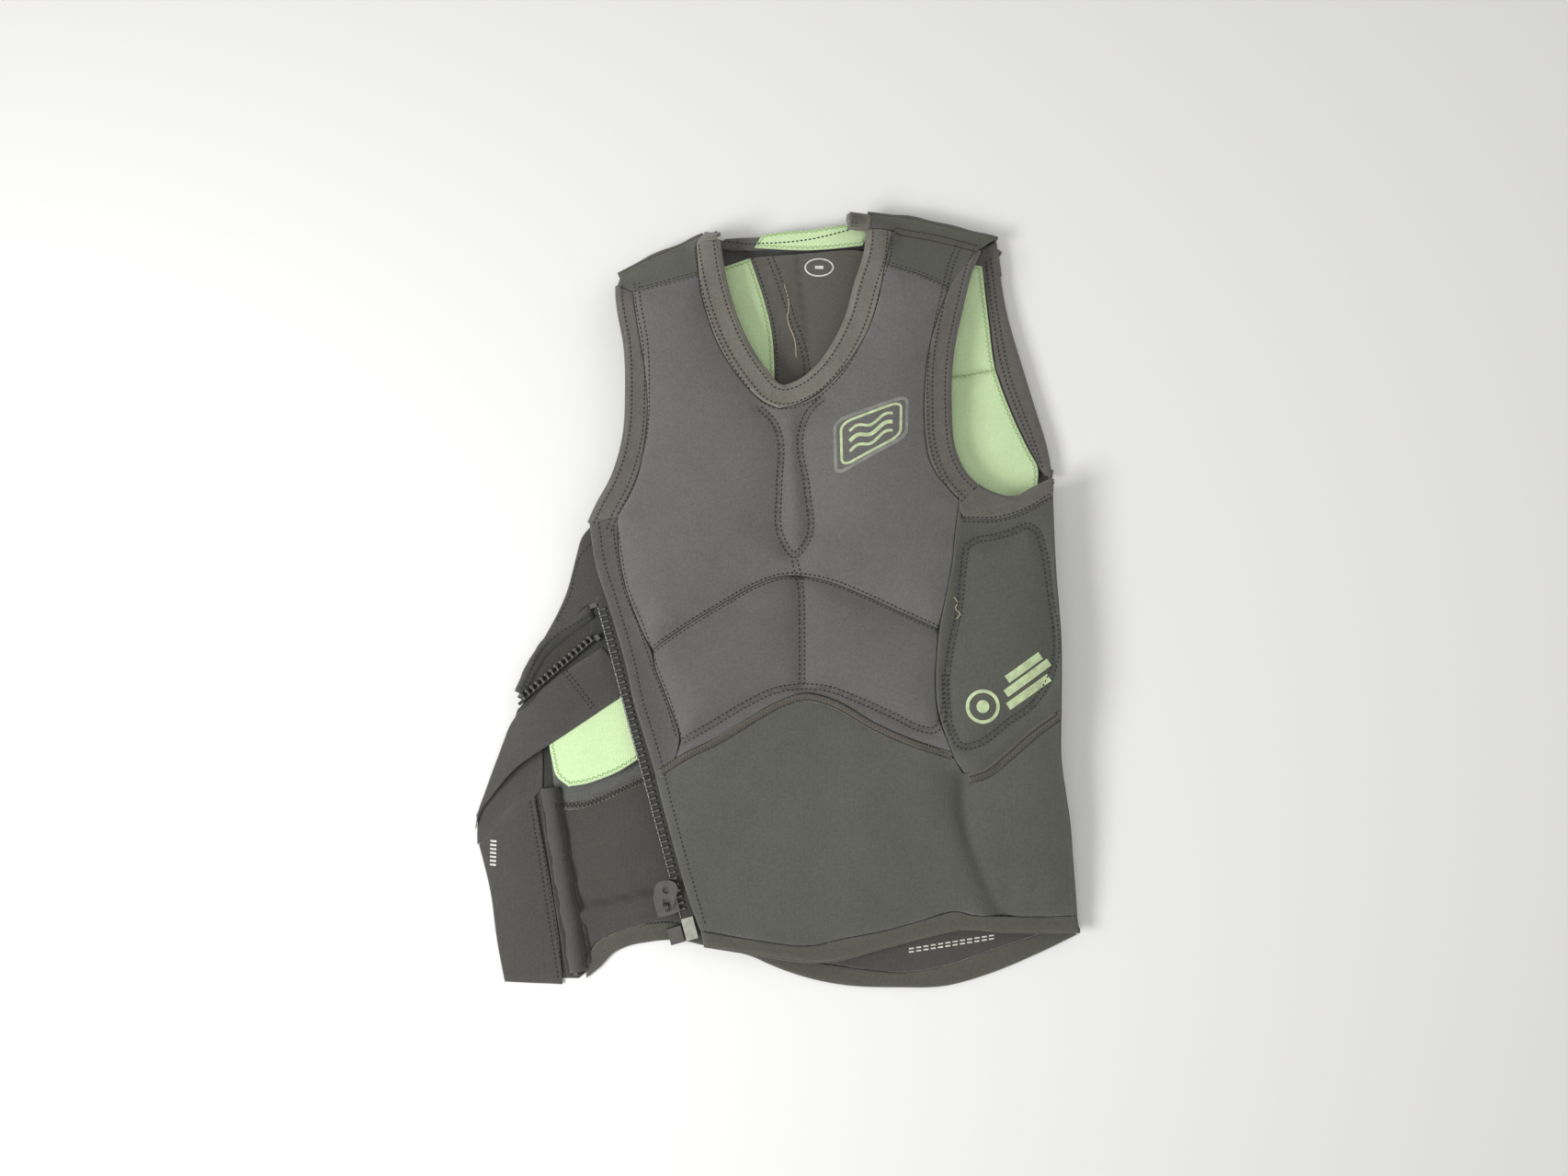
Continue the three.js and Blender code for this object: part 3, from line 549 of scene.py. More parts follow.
# seam and stitch lines in millimetres, x then y
seamLines = {
    "sternum": [(-15, 152), (-3, 140), (1, 130), (1, 87), (3, 47), (13, 33), (23, 44), (23, 87), (18, 130),
                (25, 149), (36, 160)],
    "centre": [(13, 30), (17, 14), (19, -30), (19, -69)],
    "zipPad": [(-129, 56), (-126, 36), (-120, 7), (-108, -22), (-97, -55), (-86, -83), (-78, -109)],
    "bellyLow": [(-75, -113), (-52, -100), (-25, -84), (-1, -73), (19, -70), (40, -72), (64, -81), (93, -94),
                 (112, -103), (124, -104), (129, -94), (131, -60)],
    "arch": [(-100, -42), (-71, -22), (-43, -5), (-14, 11), (6, 17), (25, 16), (45, 11), (74, -1), (102, -14),
             (127, -25)],
    "sidePad": [(149, 40), (156, 45), (171, 48), (186, 52), (200, 57), (206, 52), (210, 39), (214, 10),
                (215, -60), (201, -83), (180, -98), (156, -115), (144, -117), (136, -105), (133, -88),
                (133, -59), (137, -35), (143, -9), (146, 18), (149, 40)],
    "creaseA": [(146, -142), (146, -170), (154, -200), (168, -228), (178, -248)],
    "creaseB": [(112, -122), (116, -150), (130, -182), (150, -206)],
    "creaseC": [(40, -96), (44, -150), (38, -205), (30, -258)],
    "creaseD": [(198, -118), (196, -160), (204, -205), (212, -246)],
}


def lineOf(points, step=0.003):
    return spline(np.array(points, float) * mm, step)


clothSettings = {"quality": 4, "mass": 0.06, "stretch": 6, "bend": 0.3, "frames": 14}


def billow(verts, faces, held, cap, pressure):
    # a short cloth simulation with its seams held still
    obj = newObject("simCloth", verts, faces, cloths["chest"])
    group = obj.vertex_groups.new(name="held")
    group.add([int(i) for i in np.nonzero(held)[0]], 1.0, "REPLACE")
    mod = obj.modifiers.new("cloth", "CLOTH")
    s = mod.settings
    s.quality = clothSettings["quality"]
    s.mass = clothSettings["mass"]
    s.tension_stiffness = s.compression_stiffness = clothSettings["stretch"]
    s.shear_stiffness = clothSettings["stretch"] / 2
    s.bending_stiffness = clothSettings["bend"]
    s.use_pressure = True
    s.uniform_pressure_force = pressure
    s.effector_weights.gravity = 0
    s.vertex_group_mass = "held"
    mod.collision_settings.use_collision = False
    mod.point_cache.frame_end = clothSettings["frames"]
    for f in range(1, clothSettings["frames"] + 1):
        bpy.context.scene.frame_set(f)
    depsgraph = bpy.context.evaluated_depsgraph_get()
    moved = np.array([v.co for v in obj.evaluated_get(depsgraph).data.vertices])
    bpy.context.scene.frame_set(1)
    bpy.data.objects.remove(obj)
    shift = moved - verts
    size = np.linalg.norm(shift, axis=1)
    shift *= (cap * np.tanh(size / cap) / np.maximum(size, 1e-12))[:, None]
    print("  cloth moved up to %.1f mm before the cap" % (size.max() * 1000))
    return verts + shift


visible = []  # the upper fabric that stitches lie on


narrowest = 0.0102  # the least width worked out for a sheet that is given a band width
curved = {"share": 0.34, "fill": 0.85}  # an outline that fills less of its box is a curved band


def declareSheet(area, loop, band=None):
    width, length = sorted(np.ptp(loop[:, :2], axis=0))
    if band:
        width, length = max(band, narrowest), area / band
    elif area < curved["share"] * width * length:
        width = area / (curved["fill"] * length)


lowest = 0.0003  # nothing sinks into what the vest lies on
heldEdge, heldRow = 0.003, 0.0025
markWidth = 0.0016
slotOf = {"neck": "edge_band", "band": "edge_band", "hem": "edge_band", "tape": "seam_tape",
          "dark": "dark_lining", "green": "green_lining", "zipTape": "zip_tape",
          **dict.fromkeys(("chest", "belly", "placket", "yoke", "back"), "chest_neoprene"),
          **dict.fromkeys(("stretch", "side", "inside", "flap", "roll"), "stretch_neoprene")}


def makePanel(name, spec):
    side = spec.get("side", 1)
    rows = [(lineOf(points), depth, width) for points, depth, width in spec.get("rows", ())]
    if "outline" in spec:
        raw = np.array([(x, y, spec.get("z", 0)) for x, y in spec["outline"]], float) * mm
    else:
        raw = outlineOf(spec["node"], side > 0)
    loop = roundedLoop(raw, 0.0035)
    flat, faces = gridMesh(loop, spec.get("step", 0.0045), (0.0006, 0.0018))
    if "z" in spec:
        z = np.full(len(flat), spec["z"] * mm)
    else:
        field = spec.get("field") or heightField([spec["node"]], blur=spec.get("blur", 0.0025), up=side > 0)
        z = field(flat)
    z = z + spec.get("lift", 0) * side
    edge = distanceTo(flat, loop, True)
    # groove: a mask along the seam rows, which the cloth material uses to paint shade into the seam grooves
    groove = np.zeros(len(flat))
    held = edge < heldEdge
    free = edge
    for line, depth, width in rows:
        d = distanceTo(flat, line)
        z -= side * depth * mm * np.exp(-(d / (width * mm)) ** 2)
        groove = np.maximum(groove, np.exp(-(d / markWidth) ** 2))
        held |= d < heldRow
        free = np.minimum(free, d)
    for points, height, width in spec.get("folds", ()):
        d = distanceTo(flat, lineOf(points))
        z += height * mm * np.exp(-(d / (width * mm)) ** 2)
    verts = np.column_stack([flat, z])
    if spec.get("crown"):
        verts[:, 2] *= side
        verts[:, 2] += spec["crown"] * 0.45 * (1 - np.exp(-np.maximum(0, free - 0.002) / 0.014))
        verts = billow(verts, faces, held, spec["crown"], spec["pressure"])
        verts[:, 2] *= side
    edgeRound = spec.get("edgeRound", 0.0013)
    t = np.clip(1 - edge / edgeRound, 0, 1)
    verts[:, 2] -= side * edgeRound * (1 - np.sqrt(1 - t ** 2))
    if side < 0:
        faces = faces[:, ::-1]
    solid, allFaces = thicken(verts, faces, spec.get("thick", 0.003))
    solid[:, 2] = np.maximum(solid[:, 2], lowest)
    rim = np.exp(-(edge / markWidth) ** 2)
    for v, f in spec.get("extra", ()):
        allFaces = allFaces + [[i + len(solid) for i in g] for g in f]
        solid = np.vstack([solid, v])
    obj = newObject(name, solid, allFaces, cloths[spec["cloth"]])
    pad = len(solid) - 2 * len(rim)
    putAttribute(obj, "rim", np.concatenate([rim, rim, np.full(pad, 0.35)]))
    putAttribute(obj, "groove", np.concatenate([groove, groove * 0, np.zeros(pad)]))
    if spec.get("blend"):
        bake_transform(obj)
    else:
        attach(obj, "vest")
    if "node" in spec:
        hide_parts(spec["node"])
    area = 0.5 * sum(f.area for f in obj.data.polygons)
    declareSheet(area, loop,
                 spec.get("band"))
    if spec.get("shows", True):
        visible.append((obj, solid[:len(flat)], faces))


def rollAlong(path, top, bottom, bulge, back=0.003):
    # the rolled edge of a binding: a rounded strip on the left of the path, from top to bottom
    tangent = np.gradient(path[:, :2], axis=0)
    out = np.stack([-tangent[:, 1], tangent[:, 0]], 1)
    out /= np.linalg.norm(out, axis=1)[:, None]
    tops, lows = top(path[:, :2]), bottom(path[:, :2])
    rows = []
    profile = [(-back, 0.06), (0, 0.0)]
    profile += [(bulge * math.sin(a), 0.5 - 0.5 * math.cos(a)) for a in np.linspace(0, math.pi, 9)[1:-1]]
    profile += [(0, 1.0), (-back, 0.94)]
    for off, down in profile:
        rows.append(np.column_stack([path[:, :2] + out * off, tops + (lows - tops) * down]))
    rows = np.array(rows)
    k, n = rows.shape[:2]
    verts = rows.reshape(-1, 3)
    faces = []
    for i in range(k):
        j = (i + 1) % k
        for m in range(n - 1):
            faces.append([i * n + m, i * n + m + 1, j * n + m + 1, j * n + m])
    faces.append([i * n for i in range(k)])
    faces.append([i * n + n - 1 for i in reversed(range(k))])
    return verts, faces


def frontTop(less):
    return lambda xy: frontField(xy) - less


def bindingRoll(line, bulge, under=0.0105):
    return rollAlong(line, frontTop(0.0012), frontTop(under), bulge)


# front: chest, belly, placket and skirt
rows = seamLines
chestPanel = {"node": "chest_panel", "cloth": "chest", "crown": 0.0075, "pressure": 60,
              "rows": [(rows["sternum"], 3.0, 5.5), (rows["zipPad"], 2.4, 5.5), (rows["arch"], 2.8, 7)],
              "folds": [(rows["sternum"], -1.6, 15), (rows["arch"], -1.9, 18), (rows["zipPad"], -1.2, 14)],
              "rests": ["chest_foam_left", "chest_foam_right"], "step": 0.004}
bellyPanel = {"node": "abdomen_panel", "cloth": "belly", "crown": 0.006, "pressure": 60,
              "rows": [(rows["centre"], 3.0, 6), (rows["zipPad"], 2.4, 5.5), (rows["bellyLow"], 2.8, 6),
                       (rows["arch"], 2.6, 6)],
              "folds": [(rows["arch"], -1.9, 18), (rows["centre"], -1.6, 15), (rows["bellyLow"], -1.6, 15),
                        (rows["zipPad"], -1.2, 14)],
              "rests": ["abdomen_foam_left", "abdomen_foam_right"], "step": 0.004}
placket = {"node": "zip_placket", "cloth": "placket", "rows": [(rows["zipPad"], 2.4, 5.5)],
           "folds": [(rows["zipPad"], -1.2, 14)],
           "rests": ["front_lining"], "step": 0.004}
skirt = {"node": "front_skirt_panel", "cloth": "stretch", "crown": 0.004, "pressure": 20,
         "folds": [(rows["creaseA"], -7.0, 9), (rows["creaseB"], 3.6, 15), (rows["creaseC"], -2.6, 22),
                   (rows["creaseD"], 2.4, 12)],
         "rests": ["back_skirt_panel"]}
frontHem = {"node": "front_hem_band", "cloth": "hem", "step": 0.003, "edgeRound": 0.0022,
            "rests": ["front_skirt_panel"], "held": "folded", "band": 0.013}
sidePanel = {"node": "side_panel", "cloth": "side", "crown": 0.0055, "pressure": 60,
             "rows": [(rows["sidePad"], 2.8, 5.5)], "rests": ["side_foam"],
             "step": 0.004}
sideBinding = {"node": "side_panel_binding", "cloth": "band", "step": 0.003,
               "edgeRound": 0.0018, "rests": ["side_panel"], "held": "folded", "band": 0.015}

neckFree = lineOf([(-49, 292), (-45, 266), (-36, 232), (-25, 206), (-10, 183), (3, 170), (15, 173), (31, 185),
                   (46, 206), (56, 227), (64, 256), (72, 282), (74, 303)])
armFreeLeft = lineOf([(-131, 256), (-128, 232), (-123, 206), (-121, 166), (-123, 128), (-132, 96), (-144, 73),
                      (-150, 60)])[::-1]
armFreeRight = lineOf([(165, 288), (157, 269), (148, 235), (140, 196), (138, 152), (141, 118), (149, 100),
                       (160, 88)])
hemFree = lineOf([(-58, -273), (-19, -279), (24, -285), (45, -284), (84, -274), (120, -265), (144, -260),
                  (180, -262), (238, -262)])[::-1]
frontHem["extra"] = [bindingRoll(hemFree, 0.0012, 0.0046)]
neckBand = {"node": "neck_band", "cloth": "neck", "step": 0.003, "edgeRound": 0.002,
            "rests": ["chest_panel"], "band": 0.018, "held": "folded",
            "extra": [bindingRoll(neckFree, 0.0022)]}
armBandLeft = {"node": "armhole_band_left", "cloth": "band", "step": 0.003,
               "edgeRound": 0.002, "rests": ["chest_panel"], "band": 0.018, "held": "folded",
               "extra": [bindingRoll(armFreeLeft, 0.002)]}
armBandRight = {"node": "armhole_band_right", "cloth": "band", "step": 0.003,
                "edgeRound": 0.002, "rests": ["chest_panel"], "band": 0.02, "held": "folded",
                "extra": [bindingRoll(armFreeRight, 0.002)]}
yokeLeft = {"node": "shoulder_yoke_left", "cloth": "yoke", "crown": 0.003, "pressure": 25,
            "rests": ["back_shell"]}
yokeRight = {"node": "shoulder_yoke_right", "cloth": "yoke", "crown": 0.003, "pressure": 25,
             "rests": ["back_shell"]}
yokeBackRight = {"node": "shoulder_back_yoke_right", "cloth": "yoke",
                 "rests": ["back_shell"]}
for name, spec in (("chestPanel", chestPanel), ("bellyPanel", bellyPanel), ("zipPlacket", placket),
                   ("frontSkirt", skirt), ("frontHemBinding", frontHem), ("sidePanel", sidePanel),
                   ("sideArmBinding", sideBinding), ("neckBinding", neckBand),
                   ("armBindingLeft", armBandLeft), ("armBindingRight", armBandRight),
                   ("shoulderYokeLeft", yokeLeft), ("shoulderYokeRight", yokeRight),
                   ("backYokeRight", yokeBackRight)):
    makePanel(name, dict(spec, field=frontField))
print("stage: front panels made")


# back, linings and the zip side
backShell = {"node": "back_shell", "cloth": "back", "side": -1, "crown": 0.0008, "pressure": 20,
             "lift": -0.0008,
             "rows": [([(-118, 235), (-112, 100), (-150, -20), (-165, -150)], 1.0, 4),
                      ([(-18, 290), (-2, 200), (-3, 60), (-30, -90)], 1.0, 4),
                      ([(92, 290), (78, 180), (82, 20), (98, -90)], 1.0, 4),
                      ([(-165, -150), (-105, -130), (-30, -95), (40, -88), (120, -92), (205, -100)], 1.0, 4)],
             "rests": ["floor"], "held": "laid", "shows": False, "step": 0.006}
backSkirt = {"node": "back_skirt_panel", "cloth": "inside", "rests": ["floor"],
             "held": "laid", "crown": 0.0022, "pressure": 14,
             # this row follows a crease, not a seam: besides a shallow dip, its groove mask paints a dark
             # line of shade along the crease
             "rows": [([(-160, -244), (-130, -238), (-96, -230)], 0.8, 3)],
             "folds": [([(-166, -245), (-130, -236), (-92, -228)], -2.0, 6),
                       ([(-166, -253), (-130, -244), (-92, -236)], 4.0, 7)]}
backHem = {"node": "back_hem_band", "cloth": "hem", "rests": ["floor"], "held": "folded",
           "band": 0.014, "step": 0.003, "edgeRound": 0.0018}
backNeck = {"node": "back_neck_band", "cloth": "band", "rests": ["back_shell"],
            "held": "folded", "thick": 0.004, "edgeRound": 0.002, "band": 0.012}
collar = {"node": "collar_facing", "cloth": "green", "rests": ["back_neck_band"],
          "held": "stretched", "crown": 0.0018, "pressure": 20, "step": 0.003, "thick": 0.0012,
          "band": 0.016}
liningLeft = {"node": "back_lining_left", "cloth": "green", "rests": ["back_foam_left"],
              "held": "stretched", "crown": 0.0007, "pressure": 8, "thick": 0.0012,
              "rows": [([(-120, 60), (-60, 52), (-4, 48)], 1.2, 4)]}
liningRight = {"node": "back_lining_right", "cloth": "green", "rests": ["back_foam_right"],
               "held": "stretched", "crown": 0.004, "pressure": 30, "thick": 0.0012,
               "rows": [([(76, 186), (110, 184), (143, 184), (178, 190)], 1.4, 4)]}
liningCentre = {"node": "back_lining_centre", "cloth": "dark", "rests": ["back_foam_centre"],
                "held": "stretched", "crown": 0.0025, "pressure": 20, "thick": 0.0012,
                "rows": [([(14, 292), (20, 240), (24, 160), (22, 60)], 0.8, 3)]}
frontLining = {"node": "front_lining", "cloth": "dark", "rests": ["back_lining_centre"],
               "held": "stretched", "thick": 0.0012, "shows": False, "step": 0.006, "side": -1}
armBackRight = {"node": "armhole_band_right_back", "cloth": "band", "rests": ["back_shell"],
                "held": "folded", "thick": 0.008, "edgeRound": 0.004, "step": 0.003, "band": 0.02}
armBackLeft = {"node": "armhole_band_left_back", "cloth": "band", "rests": ["back_shell"],
               "held": "folded", "thick": 0.004, "edgeRound": 0.002, "step": 0.003, "band": 0.006}
wing = {"node": "side_back_panel", "cloth": "flap", "rests": ["back_shell"],
        "held": "folded", "crown": 0.003, "pressure": 20}
flapUpper = {"node": "guard_flap_upper", "cloth": "flap", "blur": 0.005,
             "rests": ["guard_flap_root"], "held": "folded", "crown": 0.003, "pressure": 16,
             "folds": [([(-150, -75), (-190, -100), (-222, -140)], 1.0, 8),
                       ([(-205, -95), (-225, -140), (-236, -172)], -0.8, 6)]}
flapLow = {"node": "guard_flap_lower", "cloth": "flap", "rests": ["floor"],
           "held": "folded", "crown": 0.0022, "pressure": 14, "edgeRound": 0.0006,
           "blend": ("vest", "guard_flap", (-0.2165, -0.1745, 0.002), (-0.1835, -0.212, 0.002)),
           "folds": [([(-210, -170), (-204, -230), (-196, -300)], 0.8, 10)]}
flapRoot = {"node": "guard_flap_root", "cloth": "flap", "rests": ["floor"],
            "held": "folded", "z": 3.0, "edgeRound": 0.0006,
            "outline": [(-241, -186), (-240.5, -195.5), (-231, -185.5), (-221, -173.5), (-210, -163),
                        (-195, -157), (-189, -150), (-190, -118), (-196, -96), (-210, -86), (-217, -107),
                        (-222, -120), (-231, -146), (-240, -172)]}
zipGuard = {"outline": [(-209, -90), (-196, -82), (-163, -57), (-140, -43), (-124, -62), (-116, -58),
                        (-112, -22), (-117, 6), (-132, 7), (-148, 2), (-158, -5), (-152, -14), (-151, -33),
                        (-176, -57), (-205, -84)], "z": 16.9,
            "cloth": "roll", "rests": ["back_lining_left"], "held": "folded",
            "thick": 0.0008, "step": 0.004, "band": 0.02}
neckOverLeft = {"outline": [(-67, 291), (-49.5, 291), (-47, 301), (-60, 304)], "field": frontField,
                "lift": 0.0012, "cloth": "neck", "rests": ["shoulder_yoke_left"], "held": "folded",
                "thick": 0.003, "step": 0.003, "band": 0.018}
armCorner = {"outline": [(143.5, 67), (143.5, 78.5), (149, 80.5), (160.5, 89), (167, 84.8), (178, 80.6),
                         (191, 79.8), (200, 85), (190, 75), (173, 71),
                         (160, 68), (151, 65)], "field": frontField, "cloth": "band",
                         "rests": ["side_panel"], "held": "folded", "step": 0.003, "band": 0.012,
                         "edgeRound": 0.0018,
             "lift": 0.0004,
             "extra": [bindingRoll(lineOf([(159, 90), (167, 84.8), (178, 80.6), (191, 79.8), (202, 86),
                                           (219, 94)]),
                                   0.002)]}
neckOver = {"outline": [(57, 300), (74.5, 301), (77, 318.5), (60, 321)], "field": frontField, "lift": 0.0012,
            "cloth": "neck", "rests": ["shoulder_back_yoke_right"], "held": "folded",
            "thick": 0.003, "step": 0.003, "band": 0.018}
facing = {"outline": [(-202, -92), (-178, -108), (-172, -150), (-166, -200), (-156, -250), (-146, -290),
                      (-158, -300), (-176, -300), (-188, -240), (-200, -160), (-206, -118)], "z": 1.3,
          "cloth": "roll", "rests": ["floor"], "held": "folded", "thick": 0.001,
          "step": 0.005}
gusset = {"outline": [(158, 289), (181, 299), (183.5, 286), (185.5, 270), (172, 262), (160, 274)], "z": 13.2,
          "cloth": "band", "rests": ["back_shell"], "held": "folded", "thick": 0.003, "step": 0.004}
tapeSpec = {"cloth": "zipTape", "rests": ["zip_teeth_front"], "held": "stretched",
            "thick": 0.001, "step": 0.003, "edgeRound": 0.0004}
for name, spec in (("backShell", backShell), ("backSkirt", backSkirt), ("backHemBinding", backHem),
                   ("backNeckBinding", backNeck), ("collarFacing", collar), ("greenLiningLeft", liningLeft),
                   ("greenLiningRight", liningRight), ("centreLining", liningCentre),
                   ("frontLining", frontLining), ("armBindingRightBack", armBackRight),
                   ("armBindingLeftBack", armBackLeft), ("sideBackPanel", wing),
                   ("guardFlapUpper", flapUpper), ("guardFlapRoot", flapRoot), ("guardFlapLower", flapLow),
                   ("zipFacing", facing), ("shoulderGusset", gusset), ("zipGuard", zipGuard),
                   ("neckBindingOver", neckOver), ("neckBindingOverLeft", neckOverLeft),
                   ("armBindingCorner", armCorner), ("zipTapeFront", dict(tapeSpec, node="zip_tape_front",
                                                                          band=0.0115)),
                   ("zipTapeBackUpper", dict(tapeSpec, node="zip_tape_back_upper", thick=0.0012)),
                   ("zipTapeBackLower", dict(tapeSpec, node="zip_tape_back_lower", thick=0.002, band=0.012))):
    makePanel(name, spec)
print("stage: back panels, linings and flap made")


# where the cloth turns over the closed side and the shoulders
def clothStrip(name, cloth, rings, line, thick, outward, nodeNames=()):
    # a closed strip of cloth from rows of points, one row for each step across it
    steps, count = len(rings), len(line)
    verts = np.array(rings).reshape(-1, 3)
    faces = []
    for i in range(steps - 1):
        for m in range(count - 1):
            a, b, c, d = i * count + m, i * count + m + 1, (i + 1) * count + m + 1, (i + 1) * count + m
            faces += [(a, d, c), (a, c, b)]
    faces = np.array(faces)
    normal = np.cross(verts[faces[:, 1]] - verts[faces[:, 0]], verts[faces[:, 2]] - verts[faces[:, 0]])
    if (normal @ np.array(outward)).mean() < 0:
        faces = faces[:, ::-1]
    solid, allFaces = thicken(verts, faces, thick)
    obj = newObject(name, solid, allFaces, cloths[cloth])
    putAttribute(obj, "rim", np.zeros(len(solid)))
    putAttribute(obj, "groove", np.zeros(len(solid)))
    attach(obj, "vest")
    if nodeNames:
        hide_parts(*nodeNames)
    visible.append((obj, verts, faces))


def acrossOf(path):
    tangent = np.gradient(path, axis=0)
    out = np.stack([tangent[:, 1], -tangent[:, 0]], 1)
    return out / np.linalg.norm(out, axis=1)[:, None]


def wrapDown(name, cloth, node, topLine, lowLine, bulge, left=False, lowZ=0.0028, thick=0.0025, steps=15):
    top = lineOf(topLine, 0.005)
    low = resample(lineOf(lowLine, 0.005), 0.005)
    count = len(top)
    even = np.linspace(0, 1, count)
    low = np.stack([np.interp(even, np.linspace(0, 1, len(low)), low[:, k]) for k in (0, 1)], 1)
    out = acrossOf(top) * (-1 if left else 1)
    tops = frontTop(0.0006)(top)
    rings = []
    for a in np.linspace(0, math.pi, steps):
        t = 0.5 - 0.5 * math.cos(a)
        xy = top * (1 - t) + low * t + out * (bulge * math.sin(a) ** 0.8 if a < math.pi else 0)
        wave = 0.0007 * np.sin(np.arange(count) * 0.9 + a * 2.0) * math.sin(a)
        rings.append(np.column_stack([xy + out * wave[:, None], tops + (lowZ - tops) * t]))
    clothStrip(name, cloth, rings, top, thick, (*out.mean(0), 0), [node])


wrapDown("sidePanelWrap", "side", "side_panel_fold", [(218, 91), (220, 20), (223, -34), (222, -88)],
         [(221, 91), (222, 20), (223, -34), (222, -88)], 0.0075)
wrapDown("skirtWrap", "stretch", "skirt_fold", [(222, -87), (222, -122), (230, -180), (235, -249),
                                                (237, -262)],
         [(222, -87), (222, -122), (229, -180), (233, -249), (236, -262)], 0.0055)
wrapDown("shoulderWrapLeft", "yoke", "shoulder_fold_left", [(-130, 267), (-111, 279), (-81, 292), (-61, 300)],
         [(-129, 265), (-111, 277), (-81, 290), (-61, 298)], 0.0045, left=True)
wrapDown("shoulderWrapRight", "yoke", "shoulder_fold_right", [(74, 319), (109, 316), (147, 307), (181, 298)],
         [(74, 316), (109, 313), (147, 304), (180, 296)], 0.0045, left=True)


def rolledStrip(name, cloth, points, lowZ, rise, halfWidth, thick=0.0015, steps=9):
    # an arched strip of cloth along a line, lower at both of its long edges
    path = lineOf(points, 0.004)
    side = -acrossOf(path)
    run = np.arange(len(path))
    wobble = 1 + 0.08 * np.sin(run * 0.8) + 0.05 * np.sin(run * 2.1)
    rings = []
    for a in np.linspace(0, math.pi, steps):
        xy = path + side * (math.cos(a) * halfWidth * wobble)[:, None]
        rings.append(np.column_stack([xy, lowZ + rise * math.sin(a) * wobble]))
    clothStrip(name, cloth, rings, path, thick, (0, 0, 1))


rolledStrip("zipRollOuter", "flap", [(-183, -150), (-178, -180), (-170, -225), (-162, -265), (-158, -294)],
            0.0018, 0.0104, 0.0074)
rolledStrip("zipRollInner", "roll", [(-176, -150), (-171, -182), (-163, -225), (-154, -262), (-150, -289)],
            0.0016, 0.0036, 0.0034)
rolledStrip("wingRollUpper", "flap", [(-150, -7), (-170, -22), (-186, -33), (-197, -50), (-208, -74)],
            0.0158, 0.0036, 0.0032)
rolledStrip("wingRollLower", "roll", [(-148, -12), (-168, -27), (-183, -39), (-194, -55), (-206, -79)],
            0.0158, 0.0028, 0.0028)
print("stage: turned edges made")


# foam pads inside
def coverTree(names):
    verts, faces = [], []
    for obj, v, f in visible:
        if names and obj.name not in names:
            continue
        start = len(verts)
        verts += [Vector(p) for p in v]
        faces += [[start + int(i) for i in g] for g in f]
    return BVHTree.FromPolygons(verts, faces)


def makePad(name, node, cover, gap=0.0034):
    lo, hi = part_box(node)
    loop = roundedLoop(outlineOf(node), 0.006)
    flat, faces = gridMesh(loop, 0.008, (0.0012, 0.004))
    edge = distanceTo(flat, loop, True)
    bevel = 0.004 * (1 - np.sqrt(1 - np.clip(1 - edge / 0.004, 0, 1) ** 2))
    top = np.full(len(flat), hi.z + 0.0006) - bevel
    for i, (x, y) in enumerate(flat):
        hit = dropOn(cover, x, y)
        if hit[0]:
            top[i] = min(top[i], hit[0].z - gap)
    low = np.full(len(flat), lo.z) + bevel * 0.6
    top = np.maximum(top, low + 0.001)
    solid, allFaces = closedMesh(np.column_stack([flat, top]), np.column_stack([flat, low]), faces)
    obj = newObject(name, solid, allFaces, cloths["foam"])
    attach(obj, "vest")
    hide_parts(node)


frontCover = coverTree(["chestPanel", "bellyPanel", "sidePanel", "zipPlacket"])
backCover = coverTree(["greenLiningLeft", "greenLiningRight", "centreLining"])
for name, node in (("chestPadLeft", "chest_foam_left"), ("chestPadRight", "chest_foam_right"),
                   ("bellyPadLeft", "abdomen_foam_left"), ("bellyPadRight", "abdomen_foam_right"),
                   ("sidePad", "side_foam")):
    makePad(name, node, frontCover)
for name, node in (("backPadLeft", "back_foam_left"), ("backPadCentre", "back_foam_centre"),
                   ("backPadRight", "back_foam_right")):
    makePad(name, node, backCover, 0.0016)
print("stage: foam pads made")

# ribbed seam tapes
for name, spec in (
        ("waistSeamTape", {"node": "waist_seam_tape", "field": frontField, "lift": 0.0007, "band": 0.006}),
        ("sideSeamTape", {"node": "side_seam_tape", "field": frontField, "lift": 0.0007, "band": 0.006}),
        ("shoulderSeamTape", {"node": "shoulder_seam_tape_right", "field": frontField, "lift": 0.0007,
                              "band": 0.006}),
        ("backWaistTape", {"node": "back_waist_seam_tape", "band": 0.006})):
    makePanel(name, dict(spec, cloth="tape", thick=0.001, step=0.003, edgeRound=0.0005,
                         held="stretched", rests=["back_shell"]))
print("stage: seam tapes made")


# stitches
def offsetLine(path, by):
    tangent = np.gradient(path[:, :2], axis=0)
    out = np.stack([-tangent[:, 1], tangent[:, 0]], 1)
    out /= np.maximum(1e-12, np.linalg.norm(out, axis=1))[:, None]
    return path[:, :2] + out * by


def ringAround(centre, along, side, normal, length, width, verts, faces):
    start = len(verts)
    verts.append(centre - along * length * 0.5 - normal * width * 0.12)
    for where in (-0.27, 0.27):
        for k in range(5):
            a = 2 * math.pi * k / 5
            verts.append(centre + along * length * where + side * math.cos(a) * width * 0.5
                         + normal * math.sin(a) * width * 0.42)
    verts.append(centre + along * length * 0.5 - normal * width * 0.12)
    for k in range(5):
        j = (k + 1) % 5
        faces.append((start, start + 1 + j, start + 1 + k))
        faces.append((start + 1 + k, start + 1 + j, start + 6 + j, start + 6 + k))
        faces.append((start + 11, start + 6 + k, start + 6 + j))


